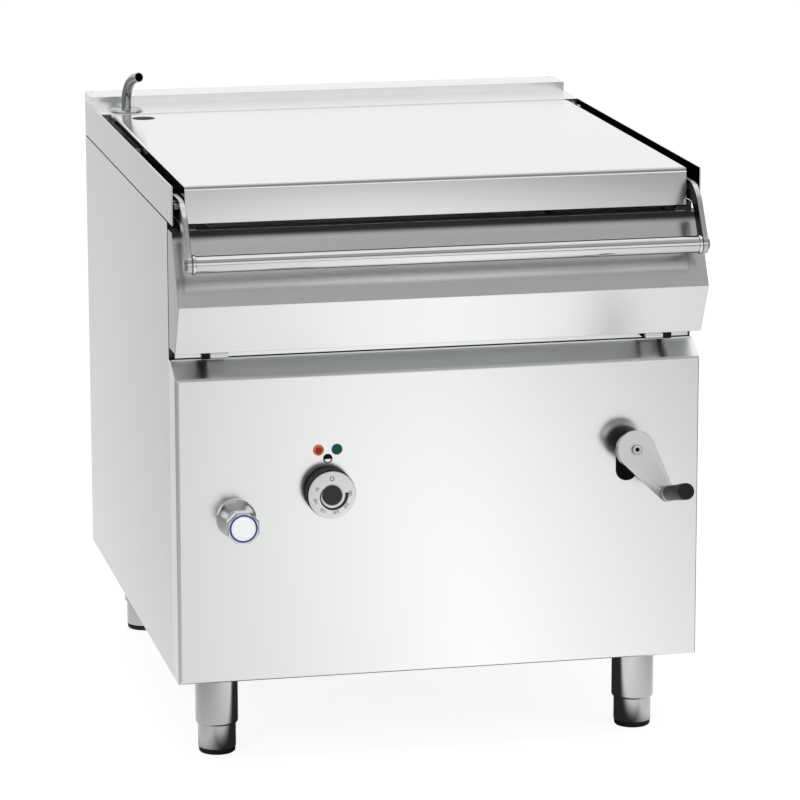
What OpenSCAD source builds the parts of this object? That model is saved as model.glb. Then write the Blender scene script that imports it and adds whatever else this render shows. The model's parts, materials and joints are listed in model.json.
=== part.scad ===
// Tilting bratt pan with a hinged lid, hand crank tilt and a filling spout

/* [Cabinet] */
// Overall width of the cabinet
cab_w = 800; // [760:5:900]
// Depth from the front panel to the back edge of the side panels
cab_d = 900; // [880:5:960]
// Height of the cabinet's lower edge above the floor
leg_clear = 134; // [128:1:150]
// Thickness of the cabinet's sheet steel
sheet = 1.5; // [1:0.1:2]
// Height of the upright part of the front panel
face_h = 464; // [456:1:470]
// Height of the sloping top edge of the front panel
bevel_h = 22; // [18:1:26]
// Depth of the sloping top edge of the front panel
bevel_d = 40; // [36:1:44]
// Height of the worktop above the front panel's top edge
work_rise = 266; // [260:1:280]
// Depth of the front panel's side returns
return_d = 55; // [50:1:60]
// Height of the rails beside the lid
rail_h = 58; // [52:1:64]
// Distance of the rails' front ends behind the front panel
rail_front = 8; // [4:1:14]
// Depth of the fixed worktop behind the lid
strip_d = 100; // [90:1:104]
// Depth of the raised upstand at the back
upstand_d = 72; // [60:1:80]
// Height of the upstand above the worktop
upstand_h = 14; // [8:1:20]

/* [Legs] */
// Radius of the leg tubes
leg_r = 32.3; // [30:0.1:36]
// Radius of the adjustable foot sleeves
foot_r = 28.8; // [26:0.1:29.5]
// Height of foot sleeve showing below the leg tube
foot_show = 46; // [38:1:52]
// Distance of the leg centres in from the cabinet's sides
leg_side = 73; // [70:1:90]
// Distance of the front legs behind the front panel
leg_front = 97; // [90:1:120]
// Distance of the rear legs ahead of the back edge
leg_rear = 85; // [80:1:110]

/* [Lid] */
// Distance of the lid's sides in from the cabinet's sides
lid_side = 20; // [18:1:26]
// Height of the lid
lid_h = 57; // [54:1:60]
// Distance of the lid's front face behind the front panel
lid_front = 14; // [12:1:20]
// Radius of the lid's folded edges
lid_r = 8; // [4:1:12]
// Radius of the filling hole in the lid
filler_r = 18; // [14:1:22]
// Radius of the handle bar
bar_r = 12.5; // [10:0.5:14]
// Distance of the handle bar ahead of the front panel
bar_front = 58; // [54:1:64]
// Distance of the handle bar below the worktop
bar_drop = 104; // [98:1:108]
// Width of the flat steel handle arms
arm_w = 26; // [22:1:30]
// Thickness of the flat steel handle arms
arm_t = 8; // [6:0.5:9]

/* [Pan] */
// Distance of the pan's inside walls in from the cabinet's sides
well_side = 56; // [53:1:65]
// Depth of the pan from rim to floor
well_depth = 172; // [150:1:175]
// Thickness of the pan's side walls
well_t = 2; // [1.5:0.1:3]
// Thickness of the pan's heated floor
base_t = 10; // [8:0.5:12]
// Gap between the pan's rim and the lid
rim_gap = 9; // [7:0.5:11]
// Distance of the front casing's fold ahead of the front panel
nose_out = 44; // [38:1:50]
// Height of the fold above the casing's lower edge
nose_fold_h = 76; // [68:1:84]
// Distance of the pan's rear casing ahead of the rear worktop
pan_rear_gap = 16; // [14:1:24]

/* [Tilt drive] */
// Module of the worm and the toothed quadrant
gear_module = 4; // [4:0.5:4.5]
// Teeth that the quadrant would have as a full wheel
gear_teeth = 70; // [68:1:72]
// Width of the quadrant's toothed rim
gear_w = 12; // [10:1:14]
// Pitch radius of the worm
worm_r = 16; // [15:0.5:18]
// Distance of the crank axis from the pan's tilt axis
crank_drop = 172; // [166:1:178]
// Distance of the crank axis in from the cabinet's right side
crank_side = 112; // [104:1:120]
// Upward slant of the crank shaft in degrees
drive_tilt = 15; // [12:1:16]
// Radius of the crank shaft
shaft_r = 8; // [7:0.5:9]
// Distance from the crank's axis to the grip's axis
crank_r = 80; // [70:1:90]
// Radius of the crank's grip
grip_r = 12.5; // [10:0.5:14]
// Length of the crank's grip
grip_l = 102; // [90:1:110]

/* [Controls] */
// Radius of the thermostat dial's face
dial_r = 36; // [30:1:40]
// Depth of the thermostat dial
dial_d = 27; // [22:1:32]
// Radius of the signal lamps
lamp_r = 8.3; // [7:0.1:9]
// Radius of the water knob's rosette
rosette_r = 30; // [26:1:34]
// Width across the water knob's flats
knob_w = 47; // [40:1:50]
// Radius of the filling spout's pipe
spout_r = 8; // [7:0.5:9]
// Height of the spout's outlet above the worktop
spout_rise = 61; // [55:1:70]

/* [Hidden] */
$fn = 64;

// General clearances
cut = 1;            // overrun of every cut
run_gap = 0.06;     // radial clearance of a turning shaft
seat_gap = 0.3;     // gap between pieces that rest near each other
side_gap = 1;       // gap beside a moving plate
end_gap = 1;        // gap at the end of a shaft in its bore

// Heights and depths of the cabinet
half_w = cab_w / 2;
lid_w = cab_w - lid_side * 2;
well_w = cab_w - well_side * 2;
leg_x = half_w - leg_side;
crank_x = half_w - crank_side;
inner_w = half_w - sheet;
z_low = leg_clear;
z_face = z_low + face_h;
z_bevel = z_face + bevel_h;
z_work = z_bevel + work_rise;
z_seam = z_work - rail_h;
z_up = z_work + upstand_h;
rail_t = 2;
rail_in = half_w - rail_t;
y_up = cab_d - upstand_d;
y_strip = y_up - strip_d;
strip_fold = 40;
flange_w = 7;
flange_in = half_w - flange_w;
rail_seam = 1.5;
rail_tab = 12;
back_inset = 3.5;
y_back = cab_d - back_inset - sheet;
bevel_slant = sheet * norm([bevel_d, bevel_h]) / bevel_d;

// Tilt axis, front rail and hinge
piv_behind = 15;
piv_rise = 12;
piv_y = piv_behind;
piv_z = z_bevel + piv_rise;
front_rail_up = 17;
lip_h = 2;
rail_slot = 3;
front_rail_d = 38;
y_frail = bevel_d + sheet + seat_gap;
pin_r = 3.5;
block_r = 5.5;
block_w = 27;
lug_r = 6;

// Underside of the pan
nose_up = 19;
z_nose = z_bevel + nose_up;
nose_edge_out = 4;
nose_back = 50;
nose_top_y = 12;
fold_share = 1.3;
z_fold = z_nose + nose_fold_h;
z_lid = z_work - lid_h;
z_rim = z_lid - rim_gap;
rim_t = 2;
well_out = well_w / 2 + well_t;
z_floor = z_rim - well_depth;
z_under = z_floor - well_t;
z_base = z_under - base_t;
floor_front = 105;
lip_y = 34;
casing_gap = 4;
casing_w = lid_w / 2 - casing_gap;
y_pan = y_strip - pan_rear_gap;
well_rear_gap = 12;
y_well = y_pan - well_rear_gap;
well_corner_r = 16;
rim_front = nose_top_y;

// Tilt arms
tilt_arm_t = 12;
tilt_arm_h = 40;
tilt_arm_l = 560;

// Lid
lid_rear_gap = 8;
y_lid = y_strip - lid_rear_gap;
lid_t = 1.5;
lid_half = lid_w / 2;
liner_up = 5;
liner_fold = 14;
hinge_in = 11;
hinge_down = 16;
lid_piv_y = y_lid - hinge_in;
lid_piv_z = z_work - hinge_down;
lid_pin_r = 4;
arm_gap = 3;
arm_in = lid_half + arm_gap;
arm_out = arm_in + arm_t;
hinge_arm_h = 18;
hinge_arm_l = 290;
lug_t = 5;
lug_in = arm_out + side_gap;
lug_out = lug_in + lug_t;
lug_end_r = 9;
lug_foot = 60;

// Handle
arm_bend_r = 48;
arm_bend = 70;
arm_straight = 43;
bar_y = -bar_front;
bar_z = z_work - bar_drop;
arm_y = bar_y + arm_bend_r * sin(arm_bend) + arm_straight * cos(arm_bend);
arm_z = bar_z + arm_bend_r * (1 - cos(arm_bend)) + arm_straight * sin(arm_bend);
arm_tail = 58;
arm_end_r = 16;
bar_wall = 2;
ferrule_r = 14.5;
ferrule_w = 9;
bolt_head_r = 5;
bolt_head_h = 3.5;
bolt_r = 2.6;
arm_bolt_shares = [0.35, 0.85];
hinge_bolt_shares = [0.15, 0.5, 0.85];

// Filling hole and spout
spout_side = 48;
spout_x = spout_side - half_w;
spout_back = 32;
spout_y = y_strip + spout_back;
spout_reach = 49;
spout_turn = 17;
spout_bend = 80;
spout_bend_r = 48;
spout_wall = 1;
filler_side = 63;
filler_x = filler_side - half_w;
filler_ahead = 46;
filler_y = y_lid - filler_ahead;
collar_wall = 2;
collar_lip = 3;
rosette_spout_r = 27;
rosette_spout_h = 4;

// Quadrant and worm
gear_r = gear_module * gear_teeth / 2;
tip_r = gear_r + gear_module;
root_extra_share = 1.25;
root_r = gear_r - gear_module * root_extra_share;
worm_tip = worm_r + gear_module;
worm_root = worm_r - gear_module * root_extra_share;
worm_y = gear_r + worm_r;
worm_half = 26;
thread_pitch = gear_module * PI;
backlash = 1;
rim_h = 16;
web_t = 8;
web_in = 86;
quad_top = 9;
quad_low = -77;
foot_t = 6;
foot_w = 30;
quad_foot_front = 107;
quad_foot_rear = 152;

// Gearbox, in the slanted frame of the drive
box_x = 60;
box_y = 56;
box_z = 62;
boss_r = 18;
boss_l = 12;
journal_in = 14;
lug_plate_t = 6;
top_lug_h = 9;
top_lug_front = 12;
top_lug_rear = 16;
plate_front = 12;
plate_rear = 22;
tie_t = 6;

// Crank
plate_y = -22;
plate_t = 4;
plate_big_r = 29;
plate_small_r = 12.5;
hub_r = 27;
hub_l = 18;
crank_angle = 32.4;
crank_bolt_r = 7.5;
crank_bolt_h = 5;
socket_r = 3.5;
spindle_r = 4;
collar_r = 9;
collar_l = 6;
grip_edge = 3;
slot_w = 34;
slot_up = 2;
slot_down = 28;
slot_z = piv_z - crank_drop / cos(drive_tilt) + piv_y * tan(drive_tilt);
shield_t = 3;
shield_edge = 12;
grip_far = -plate_y + plate_t + collar_l + grip_l;
grip_z = crank_drop + crank_r * cos(crank_angle);

// Where the part's origin lies: the middle of its whole depth
y_front = piv_y - grip_far * cos(drive_tilt) - (grip_z + grip_r - grip_edge) * sin(drive_tilt);
y_mid = (cab_d + y_front) / 2;

// Controls on the front panel
dial_side = 228;
dial_x = dial_side - half_w;
dial_up = 288;
dial_z = z_low + dial_up;
dial_off = 3;
face_t = 2;
cap_r = 15;
cap_h = 3;
skirt_extra = 1;
knurl_count = 36;
knurl_depth = 1.6;
dial_shaft_r = 3;
dial_shaft_in = 24;
thermo_w = 46;
thermo_d = 40;
lamp_dx = 14;
lamp_up = 62;
lamp_out = 3;
lamp_body_r = 6;
lamp_body_l = 26;
index_up = 48.5;
index_r = 7;
index_out = 1;
valve_side = 89;
valve_x = valve_side - half_w;
valve_up = 252;
valve_z = z_low + valve_up;
rosette_h = 26;
rosette_top_r = 20;
stem_r = 6;
knob_near = 36;
knob_d = 26;
ring_r = 20.5;
valve_cap_r = 18.5;
valve_cap_h = 3;
valve_block = 34;
pipe_r = 6;
supply_drop = 150;
inlet_ahead = 210;
inlet_r = 13.2;
inlet_l = 30;
inlet_hex = 17;
inlet_hex_h = 6;

// Electrical pieces
term_w = 160;
term_d = 90;
term_h = 110;
term_side = 210;
term_x = half_w - term_side;
term_ahead = 200;
gland_r = 16;
gland_l = 22;
gland_bore = 9;
gland_hex = 19;
gland_hex_h = 6;
gland_gap = 60;

// Moves the whole model so that its origin is under its middle
module placed() { translate([0, -y_mid, 0]) children(); }

// A block between two corners
module block(x, y, z) { translate([x[0], y[0], z[0]]) cube([x[1] - x[0], y[1] - y[0], z[1] - z[0]]); }

// The same thing on the left and on the right
module pair() { children(); mirror([1, 0, 0]) children(); }

// An outline in depth and height, drawn out across the cabinet
module across(x) { translate([x[0], 0, 0]) rotate([90, 0, 90]) linear_extrude(x[1] - x[0]) children(); }

// Rods along each axis
module rod_x(x, y, z, r) { translate([x[0], y, z]) rotate([0, 90, 0]) cylinder(h = x[1] - x[0], r = r); }
module rod_y(x, y, z, r) { translate([x, y[0], z]) rotate([-90, 0, 0]) cylinder(h = y[1] - y[0], r = r); }
module rod_z(x, y, z, r) { translate([x, y, z[0]]) cylinder(h = z[1] - z[0], r = r); }

// A cone along the depth, from radius a to radius b
module cone_y(x, y, z, a, b) {
    translate([x, y[0], z]) rotate([-90, 0, 0]) cylinder(h = y[1] - y[0], r1 = a, r2 = b);
}

// The slanted frame of the tilt drive: origin on the tilt axis, depth along the crank shaft
module drive() { placed() translate([crank_x, piv_y, piv_z]) rotate([-drive_tilt, 0, 0]) children(); }

// Part of a ring in an outline, between two angles under 180 degrees apart
module ring_part(r_in, r_out, a, b) {
    reach = r_out * 2;
    intersection() {
        difference() { circle(r_out); circle(r_in); }
        polygon([[0, 0], reach * [cos(a), sin(a)], reach * [cos((a + b) / 2), sin((a + b) / 2)],
            reach * [cos(b), sin(b)]]);
    }
}

// Two circles joined by their outer tangents, the small one straight below the big one
module teardrop(big, small, apart) {
    lean = asin((big - small) / apart);
    side = [cos(lean), -sin(lean)];
    flip = [-cos(lean), -sin(lean)];
    circle(big);
    translate([0, -apart]) circle(small);
    polygon([big * side, small * side - [0, apart], small * flip - [0, apart], big * flip]);
}

// A bar with round ends in an outline, from one point to another
module bar_outline(a, b, r) {
    d = b - a;
    n = [-d[1], d[0]] * r / norm(d);
    translate(a) circle(r);
    translate(b) circle(r);
    polygon([a + n, b + n, b - n, a - n]);
}

// Front panel

module panel_outline(back) {
    polygon([[0, z_low], [0, z_face], [bevel_d, z_bevel], [back, z_bevel], [back, z_low]]);
}

module panel_inside(back) {
    polygon([[sheet, z_low + sheet], [sheet, z_face], [bevel_d, z_bevel - bevel_slant],
        [bevel_d, z_bevel + cut], [back + cut, z_bevel + cut], [back + cut, z_low + sheet]]);
}

module slot_outline() {
    bar_outline([crank_x, slot_z + slot_up], [crank_x, slot_z - slot_down], slot_w / 2);
}

module slot_solid(y) {
    translate([0, y[1], 0]) rotate([90, 0, 0]) linear_extrude(y[1] - y[0]) slot_outline();
}

module front_panel() {
    color("gainsboro") placed() {
        difference() {
            across([-half_w, half_w]) panel_outline(return_d);
            across([-inner_w, inner_w]) panel_inside(return_d);
            slot_solid([-cut, sheet + cut]);
            rod_y(dial_x, [-cut, sheet + cut], dial_z, dial_shaft_r + side_gap);
            rod_y(dial_x - lamp_dx, [-cut, sheet + cut], dial_z + lamp_up, lamp_body_r + seat_gap);
            rod_y(dial_x + lamp_dx, [-cut, sheet + cut], dial_z + lamp_up, lamp_body_r + seat_gap);
            rod_y(valve_x, [-cut, sheet + cut], valve_z, stem_r + side_gap * 2);
        }
        block([-inner_w, inner_w], [bevel_d, bevel_d + sheet], [z_bevel - bevel_slant, z_bevel + lip_h]);
    }
}

// Side panels, back and floor

module side_panel() {
    z_top = z_seam - rail_seam;
    block([-half_w, -inner_w], [return_d, cab_d], [z_low, z_top]);
    block([-inner_w, -flange_in], [return_d, return_d + sheet], [z_low + sheet, z_top]);
    block([-inner_w, -flange_in], [y_strip, y_back], [z_top - sheet, z_top]);
    block([-rail_in, -rail_in + sheet], [y_strip, y_back], [z_top, z_seam + rail_tab]);
}

module side_panel_left() { color("lightgray") placed() side_panel(); }

module side_panel_right() { color("lightgray") placed() mirror([1, 0, 0]) side_panel(); }

module back_panel() {
    color("silver") placed()
        block([-rail_in, rail_in], [y_back, y_back + sheet], [z_low + sheet, z_work - sheet]);
}

module base_panel() {
    color("silver") placed() difference() {
        block([-inner_w, inner_w], [return_d, y_back + sheet], [z_low, z_low + sheet]);
        at_legs() translate([0, 0, z_low - cut]) cylinder(h = sheet + cut * 2, r = stud_r + seat_gap);
        rod_z(valve_x, cab_d - inlet_ahead, [z_low - cut, z_low + sheet + cut], inlet_r + seat_gap);
        rod_z(term_x, cab_d - gland_gap, [z_low - cut, z_low + sheet + cut], gland_r + seat_gap);
    }
}

// Front rail under the pan's lip, with the hinge blocks and pins

module front_rail() {
    z_top = z_bevel + front_rail_up;
    z_bot = z_bevel + lip_h + rail_slot;
    color("gainsboro") placed() {
        block([-flange_in, flange_in], [y_frail, y_frail + sheet], [z_bot, z_top]);
        block([-flange_in, flange_in], [y_frail + sheet, y_frail + front_rail_d], [z_top - sheet, z_top]);
        block([-flange_in, flange_in], [y_frail + sheet, y_frail + front_rail_d], [z_bot, z_bot + sheet]);
    }
}

module hinge_blocks() {
    outer = well_out - side_gap;
    color("silver") placed() pair() difference() {
        union() {
            rod_x([outer - block_w, outer], piv_y, piv_z, block_r);
            block([outer - block_w, outer], [piv_y, y_frail], [piv_z - block_r, piv_z + block_r]);
        }
        rod_x([outer - block_w - cut, outer + cut], piv_y, piv_z, pin_r);
    }
}

module hinge_pins() {
    color("dimgray") placed() pair()
        rod_x([well_out - side_gap - block_w, well_out + tilt_arm_t], piv_y, piv_z, pin_r);
}

// Worktop behind the lid with its upstand
upstand_hole_in = 10;
upstand_hole_r = 2;

module rear_worktop() {
    color("gainsboro") placed() {
        block([-rail_in, rail_in], [y_strip, y_strip + sheet], [z_work - strip_fold, z_work - sheet]);
        difference() {
            block([-rail_in, rail_in], [y_strip, cab_d], [z_work - sheet, z_work]);
            rod_z(spout_x, spout_y, [z_work - sheet - cut, z_work + cut], spout_r + seat_gap);
        }
        block([-half_w, half_w], [y_up, y_up + sheet], [z_work, z_up - sheet]);
        block([-half_w, half_w], [cab_d - sheet, cab_d], [z_work, z_up - sheet]);
        pair() block([inner_w, half_w], [y_up + sheet, cab_d - sheet], [z_work, z_up - sheet]);
        difference() {
            block([-half_w, half_w], [y_up, cab_d], [z_up - sheet, z_up]);
            pair() rod_z(half_w - upstand_hole_in, cab_d - upstand_hole_in, [z_up - sheet - cut, z_up + cut],
                upstand_hole_r);
        }
    }
}

module side_rail() {
    block([-half_w, -rail_in], [rail_front, cab_d], [z_seam, z_work]);
}

module side_rail_left() { color("lightgray") placed() side_rail(); }

module side_rail_right() { color("lightgray") placed() mirror([1, 0, 0]) side_rail(); }

// Legs and feet
stud_r = 6;
stud_up = 14;
nut_r = 11;
nut_h = 8;
leg_lid = 6;
leg_chamfer = 4;
foot_pad_h = 6;
foot_pad_in = 1.5;
foot_inside = 50;

// Calls its children at the four leg centres
module at_legs() {
    for (sx = [-1, 1], y = [leg_front, cab_d - leg_rear])
        translate([sx * leg_x, y, 0]) children();
}

module leg() {
    difference() {
        union() {
            translate([0, 0, foot_show + leg_chamfer])
                cylinder(h = z_low - foot_show - leg_chamfer, r = leg_r);
            translate([0, 0, foot_show])
                cylinder(h = leg_chamfer, r1 = leg_r - leg_chamfer / 2, r2 = leg_r);
        }
        translate([0, 0, foot_show - cut])
            cylinder(h = z_low - foot_show - leg_lid + cut, r = foot_r + seat_gap);
    }
    translate([0, 0, z_low]) cylinder(h = stud_up, r = stud_r);
    translate([0, 0, z_low + sheet]) cylinder(h = nut_h, r = nut_r, $fn = 6);
}

module legs() { color("silver") placed() at_legs() leg(); }

module foot() {
    cylinder(h = foot_pad_h, r = foot_r - foot_pad_in);
    translate([0, 0, foot_pad_h]) cylinder(h = foot_show + foot_inside - foot_pad_h, r = foot_r);
}

module foot_at(sx, y) { color("silver") placed() translate([sx * leg_x, y, 0]) foot(); }

module foot_front_left() { foot_at(-1, leg_front); }

module foot_front_right() { foot_at(1, leg_front); }

module foot_rear_left() { foot_at(-1, cab_d - leg_rear); }

module foot_rear_right() { foot_at(1, cab_d - leg_rear); }

// Pan: well, floor, casings

module well_profile(t) {
    polygon([[floor_front - t, z_floor - t], [lip_y - t, z_rim], [lip_y - t, z_rim + cut],
        [y_well + t, z_rim + cut], [y_well + t, z_floor - t]]);
}

module well_space(t) {
    intersection() {
        across([-well_w / 2 - t, well_w / 2 + t]) well_profile(t);
        translate([0, 0, z_floor - t]) linear_extrude(well_depth + t + cut) well_plan(t);
    }
}

module well_plan(t) {
    r = well_corner_r + t;
    x = well_w / 2 + t;
    y = [lip_y - well_corner_r * 2, y_well + t];
    translate([-x, y[0]]) square([x * 2, y[1] - y[0] - r]);
    translate([-x + r, y[0]]) square([(x - r) * 2, y[1] - y[0]]);
    for (s = [-1, 1]) translate([s * (x - r), y[1] - r]) circle(r);
}

module pan_well() {
    color("silver") placed() difference() {
        union() {
            difference() {
                well_space(well_t);
                block([-half_w, half_w], [0, cab_d], [z_rim - rim_t, z_work]);
            }
            block([-casing_w, casing_w], [rim_front, y_pan], [z_rim - rim_t, z_rim]);
        }
        well_space(0);
    }
}

module pan_base() {
    color("dimgray") placed()
        block([-well_w / 2, well_w / 2], [floor_front, y_well - well_corner_r], [z_base, z_under]);
}

module nose_outline(t) {
    z_top = z_rim - rim_t - t;
    polygon([[-nose_edge_out + t, z_nose + t], [-nose_out + t * fold_share, z_fold], [nose_top_y + t, z_top],
        [nose_back - t, z_top], [nose_back - t, z_nose + t]]);
}

module nose_casing() {
    color("gainsboro") placed() {
        difference() {
            across([-half_w, half_w]) nose_outline(0);
            across([-inner_w, inner_w]) nose_outline(sheet);
            well_space(well_t);
            block([-well_out, well_out], [nose_back - sheet - cut, nose_back + cut],
                [z_nose + sheet, z_rim]);
            pair() block([well_out - seat_gap, well_out + tilt_arm_t + seat_gap],
                [piv_y - lug_r - seat_gap, nose_back + cut], [z_nose - cut, z_nose + tilt_arm_h + seat_gap]);
        }
        pair() corner_angle();
    }
}

// Small angle on the casing's top at each front corner, just under the lid
corner_in = 12.5;
corner_out = 9;
corner_d = 18;

module corner_angle() {
    x = [casing_w - corner_in, casing_w + corner_out];
    y = [nose_top_y, nose_top_y + corner_d];
    z = z_lid - side_gap;
    block(x, y, [z - sheet, z]);
    block(x, [y[0], y[0] + sheet], [z_rim + seat_gap, z - sheet]);
    block([casing_w + side_gap, x[1]], y, [z_rim - rim_t - sheet / 2, z - sheet]);
}

module pan_casing() {
    z = [z_nose, z_rim - rim_t];
    color("silver") placed() {
        pair() block([casing_w - sheet, casing_w], [nose_back, y_pan], z);
        block([-casing_w + sheet, casing_w - sheet], [y_pan - sheet, y_pan], z);
    }
}

module tilt_arms() {
    x = [well_out, well_out + tilt_arm_t];
    color("gray") placed() pair() difference() {
        union() {
            rod_x(x, piv_y, piv_z, lug_r);
            block(x, [piv_y - lug_r, piv_y + lug_r], [piv_z, z_nose + tilt_arm_h]);
            block(x, [piv_y, piv_y + tilt_arm_l], [z_nose, z_nose + tilt_arm_h]);
        }
        rod_x([x[0] - cut, x[1] + cut], piv_y, piv_z, pin_r + run_gap);
    }
}

// Heating under the floor
rod_count = 6;
rod_r = 4.2;
rod_turn = 34;
heater_side = 98;
heater_half = well_w / 2 - heater_side;
heater_h = 26;
heater_t = 1;
heater_edge = 16;

module element() {
    y = [floor_front + heater_edge * 2, y_well - heater_edge * 3];
    z = z_base - rod_r;
    for (s = [-1, 1]) rod_y(s * rod_turn / 2, [y[0] + rod_turn / 2, y[1]], z, rod_r);
    translate([0, y[0] + rod_turn / 2, z]) rotate([0, 0, 180])
        rotate_extrude(angle = 180) translate([rod_turn / 2, 0]) circle(rod_r, $fn = 32);
}

module heating_elements() {
    pitch = (heater_half - heater_edge) * 2 / rod_count;
    color("dimgray") placed() for (i = [0 : rod_count - 1])
        translate([(i - (rod_count - 1) / 2) * pitch, 0, 0]) element();
}

module heater_cover() {
    y = [floor_front + heater_edge, y_well - heater_edge * 2];
    z = [z_base - heater_h, z_base];
    color("silver") placed() difference() {
        block([-heater_half, heater_half], y, z);
        block([-heater_half + heater_t, heater_half - heater_t], [y[0] + heater_t, y[1] - heater_t],
            [z[0] + heater_t, z[1] + cut]);
    }
}

// Toothed quadrant under the pan

tooth_flare_share = 0.8;
tooth_taper_share = 0.75;
arc_step = 4;
hole_angles = [-72, -52, -32];
hole_r = 12;

// Corners of one tooth whose middle lies at an angle, from its lower side to its upper side
function tooth(a) =
    let (base = atan((thread_pitch / 2 + gear_module * tooth_flare_share - backlash) / 2 / root_r),
        top = atan((thread_pitch / 2 - gear_module * tooth_taper_share - backlash) / 2 / tip_r))
    [polar(root_r, a - base), polar(tip_r, a - top), polar(tip_r, a + top), polar(root_r, a + base)];

function polar(r, a) = r * [cos(a), sin(a)];

function arc(r, a, b) =
    let (n = ceil(abs(b - a) / arc_step)) [for (i = [0 : n]) polar(r, a + (b - a) * i / n)];

module quadrant_rim() {
    step = 360 / gear_teeth;
    first = ceil(quad_low / step);
    last = floor(quad_top / step);
    polygon(concat([for (i = [first : last], p = tooth(i * step)) p],
        arc(root_r - rim_h, (last + 0.5) * step, (first - 0.5) * step)));
}

// The web hangs from a foot under the pan's floor and carries the rim
module quadrant_web() {
    h = z_base - foot_t / 2 - piv_z;
    near = quad_foot_front - piv_y;
    far = quad_foot_rear - piv_y;
    difference() {
        polygon(concat([[near, h], [far, h]],
            arc(root_r - rim_h / 2, quad_top - drive_tilt, quad_low - drive_tilt),
            arc(web_in, quad_low - drive_tilt, 0)));
        for (a = hole_angles) translate(polar((web_in + root_r - rim_h) / 2, a)) circle(hole_r);
    }
}

module tilt_quadrant() {
    z = [z_base - foot_t, z_base];
    color("slategray") placed() {
        translate([crank_x, piv_y, piv_z]) {
            rotate([90, 0, 90]) linear_extrude(gear_w, center = true) rotate(-drive_tilt) quadrant_rim();
            rotate([90, 0, 90]) linear_extrude(web_t, center = true) quadrant_web();
        }
        block([crank_x - foot_w / 2, crank_x + foot_w / 2], [quad_foot_front, quad_foot_rear], z);
    }
}

// Hinge lugs for the lid, with their stub pins

module lid_lugs() {
    z_foot = z_rim - rim_t;
    y = [lid_piv_y - lug_foot, lid_piv_y + lug_end_r];
    color("silver") placed() pair() {
        block([casing_w, lug_out], y, [z_foot - lug_t, z_foot]);
        block([casing_w, casing_w + lug_t / 2], y, [z_foot - lug_foot / 2, z_foot - lug_t]);
        across([lug_in, lug_out]) {
            polygon([[y[0], z_foot], [lid_piv_y - lug_end_r, lid_piv_z], [y[1], lid_piv_z], [y[1], z_foot]]);
            translate([lid_piv_y, lid_piv_z]) circle(lug_end_r);
        }
        rod_x([arm_in, lug_in], lid_piv_y, lid_piv_z, lid_pin_r);
    }
}

// Rubber buffers that the closed lid rests on
buffer_w = 14;
buffer_d = 18;
buffer_back = 8;
buffer_in = 13;

module lid_buffers() {
    x = casing_w - buffer_in;
    color("black") placed() pair()
        block([x - buffer_w, x], [rim_front + buffer_back, rim_front + buffer_back + buffer_d],
            [z_rim, z_lid + liner_up - seat_gap]);
}

// Lid

module lid_profile(t) {
    y = [lid_front + t, y_lid - t];
    z = [z_lid, z_work - t];
    r = lid_r - t;
    translate([y[0], z[0]]) square([y[1] - y[0], z[1] - z[0] - r]);
    translate([y[0] + r, z[0]]) square([y[1] - y[0] - r * 2, z[1] - z[0]]);
    for (p = [y[0] + r, y[1] - r]) translate([p, z[1] - r]) circle(r);
}

module lid_section(t) {
    x = lid_half - t;
    r = lid_r / 2;
    translate([-x, z_lid]) square([x * 2, lid_h - t - r]);
    translate([-x + r, z_lid]) square([(x - r) * 2, lid_h - t]);
    for (s = [-1, 1]) translate([s * (x - r), z_work - t - r]) circle(r);
}

module lid_solid(t) {
    intersection() {
        across([-lid_half + t, lid_half - t]) lid_profile(t);
        translate([0, cab_d, 0]) rotate([90, 0, 0]) linear_extrude(cab_d) lid_section(t);
    }
}

module lid_outer() {
    color("whitesmoke") placed() difference() {
        lid_solid(0);
        lid_solid(lid_t);
        block([-lid_half + lid_t, lid_half - lid_t], [lid_front + lid_t, y_lid - lid_t],
            [z_lid - cut, z_lid + lid_r]);
        rod_z(filler_x, filler_y, [z_lid, z_work + cut], filler_r + collar_wall);
    }
}

module lid_liner() {
    x = lid_half - lid_t;
    y = [lid_front + lid_t, y_lid - lid_t];
    z = z_lid + liner_up;
    color("silver") placed() difference() {
        block([-x, x], y, [z, z + liner_fold]);
        block([-x + lid_t, x - lid_t], [y[0] + lid_t, y[1] - lid_t], [z + lid_t, z + liner_fold + cut]);
        rod_z(filler_x, filler_y, [z - cut, z + liner_fold + cut], filler_r + collar_wall);
    }
}

module filler_collar() {
    z = z_lid + liner_up - collar_lip;
    color("silver") placed() translate([filler_x, filler_y, 0]) rotate_extrude() {
        translate([filler_r, z]) square([collar_wall, z_work - z]);
        translate([filler_r, z]) square([collar_wall + collar_lip, collar_lip]);
    }
}

// Handle arms, each a flat bar bent over the lid's front corner

module arm_outline() {
    translate([arm_y - cut, arm_z - arm_w / 2]) square([arm_tail + cut, arm_w]);
    translate([arm_y + arm_tail, arm_z]) circle(arm_w / 2);
    translate([arm_y, arm_z - arm_bend_r])
        ring_part(arm_bend_r - arm_w / 2, arm_bend_r + arm_w / 2, 90, 90 + arm_bend);
    translate([bar_y, bar_z]) rotate(arm_bend - 90)
        translate([-arm_w / 2, 0]) square([arm_w, arm_straight + cut]);
    translate([bar_y, bar_z]) circle(arm_end_r);
}

module handle_arms() {
    color("silver") placed() pair() {
        difference() {
            across([arm_in, arm_out]) arm_outline();
            rod_x([arm_in - cut, arm_out + cut], bar_y, bar_z, bolt_r + run_gap);
        }
        for (s = arm_bolt_shares)
            rod_x([lid_half, arm_in], arm_y + arm_tail * s, arm_z, bolt_head_r);
    }
}

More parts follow.
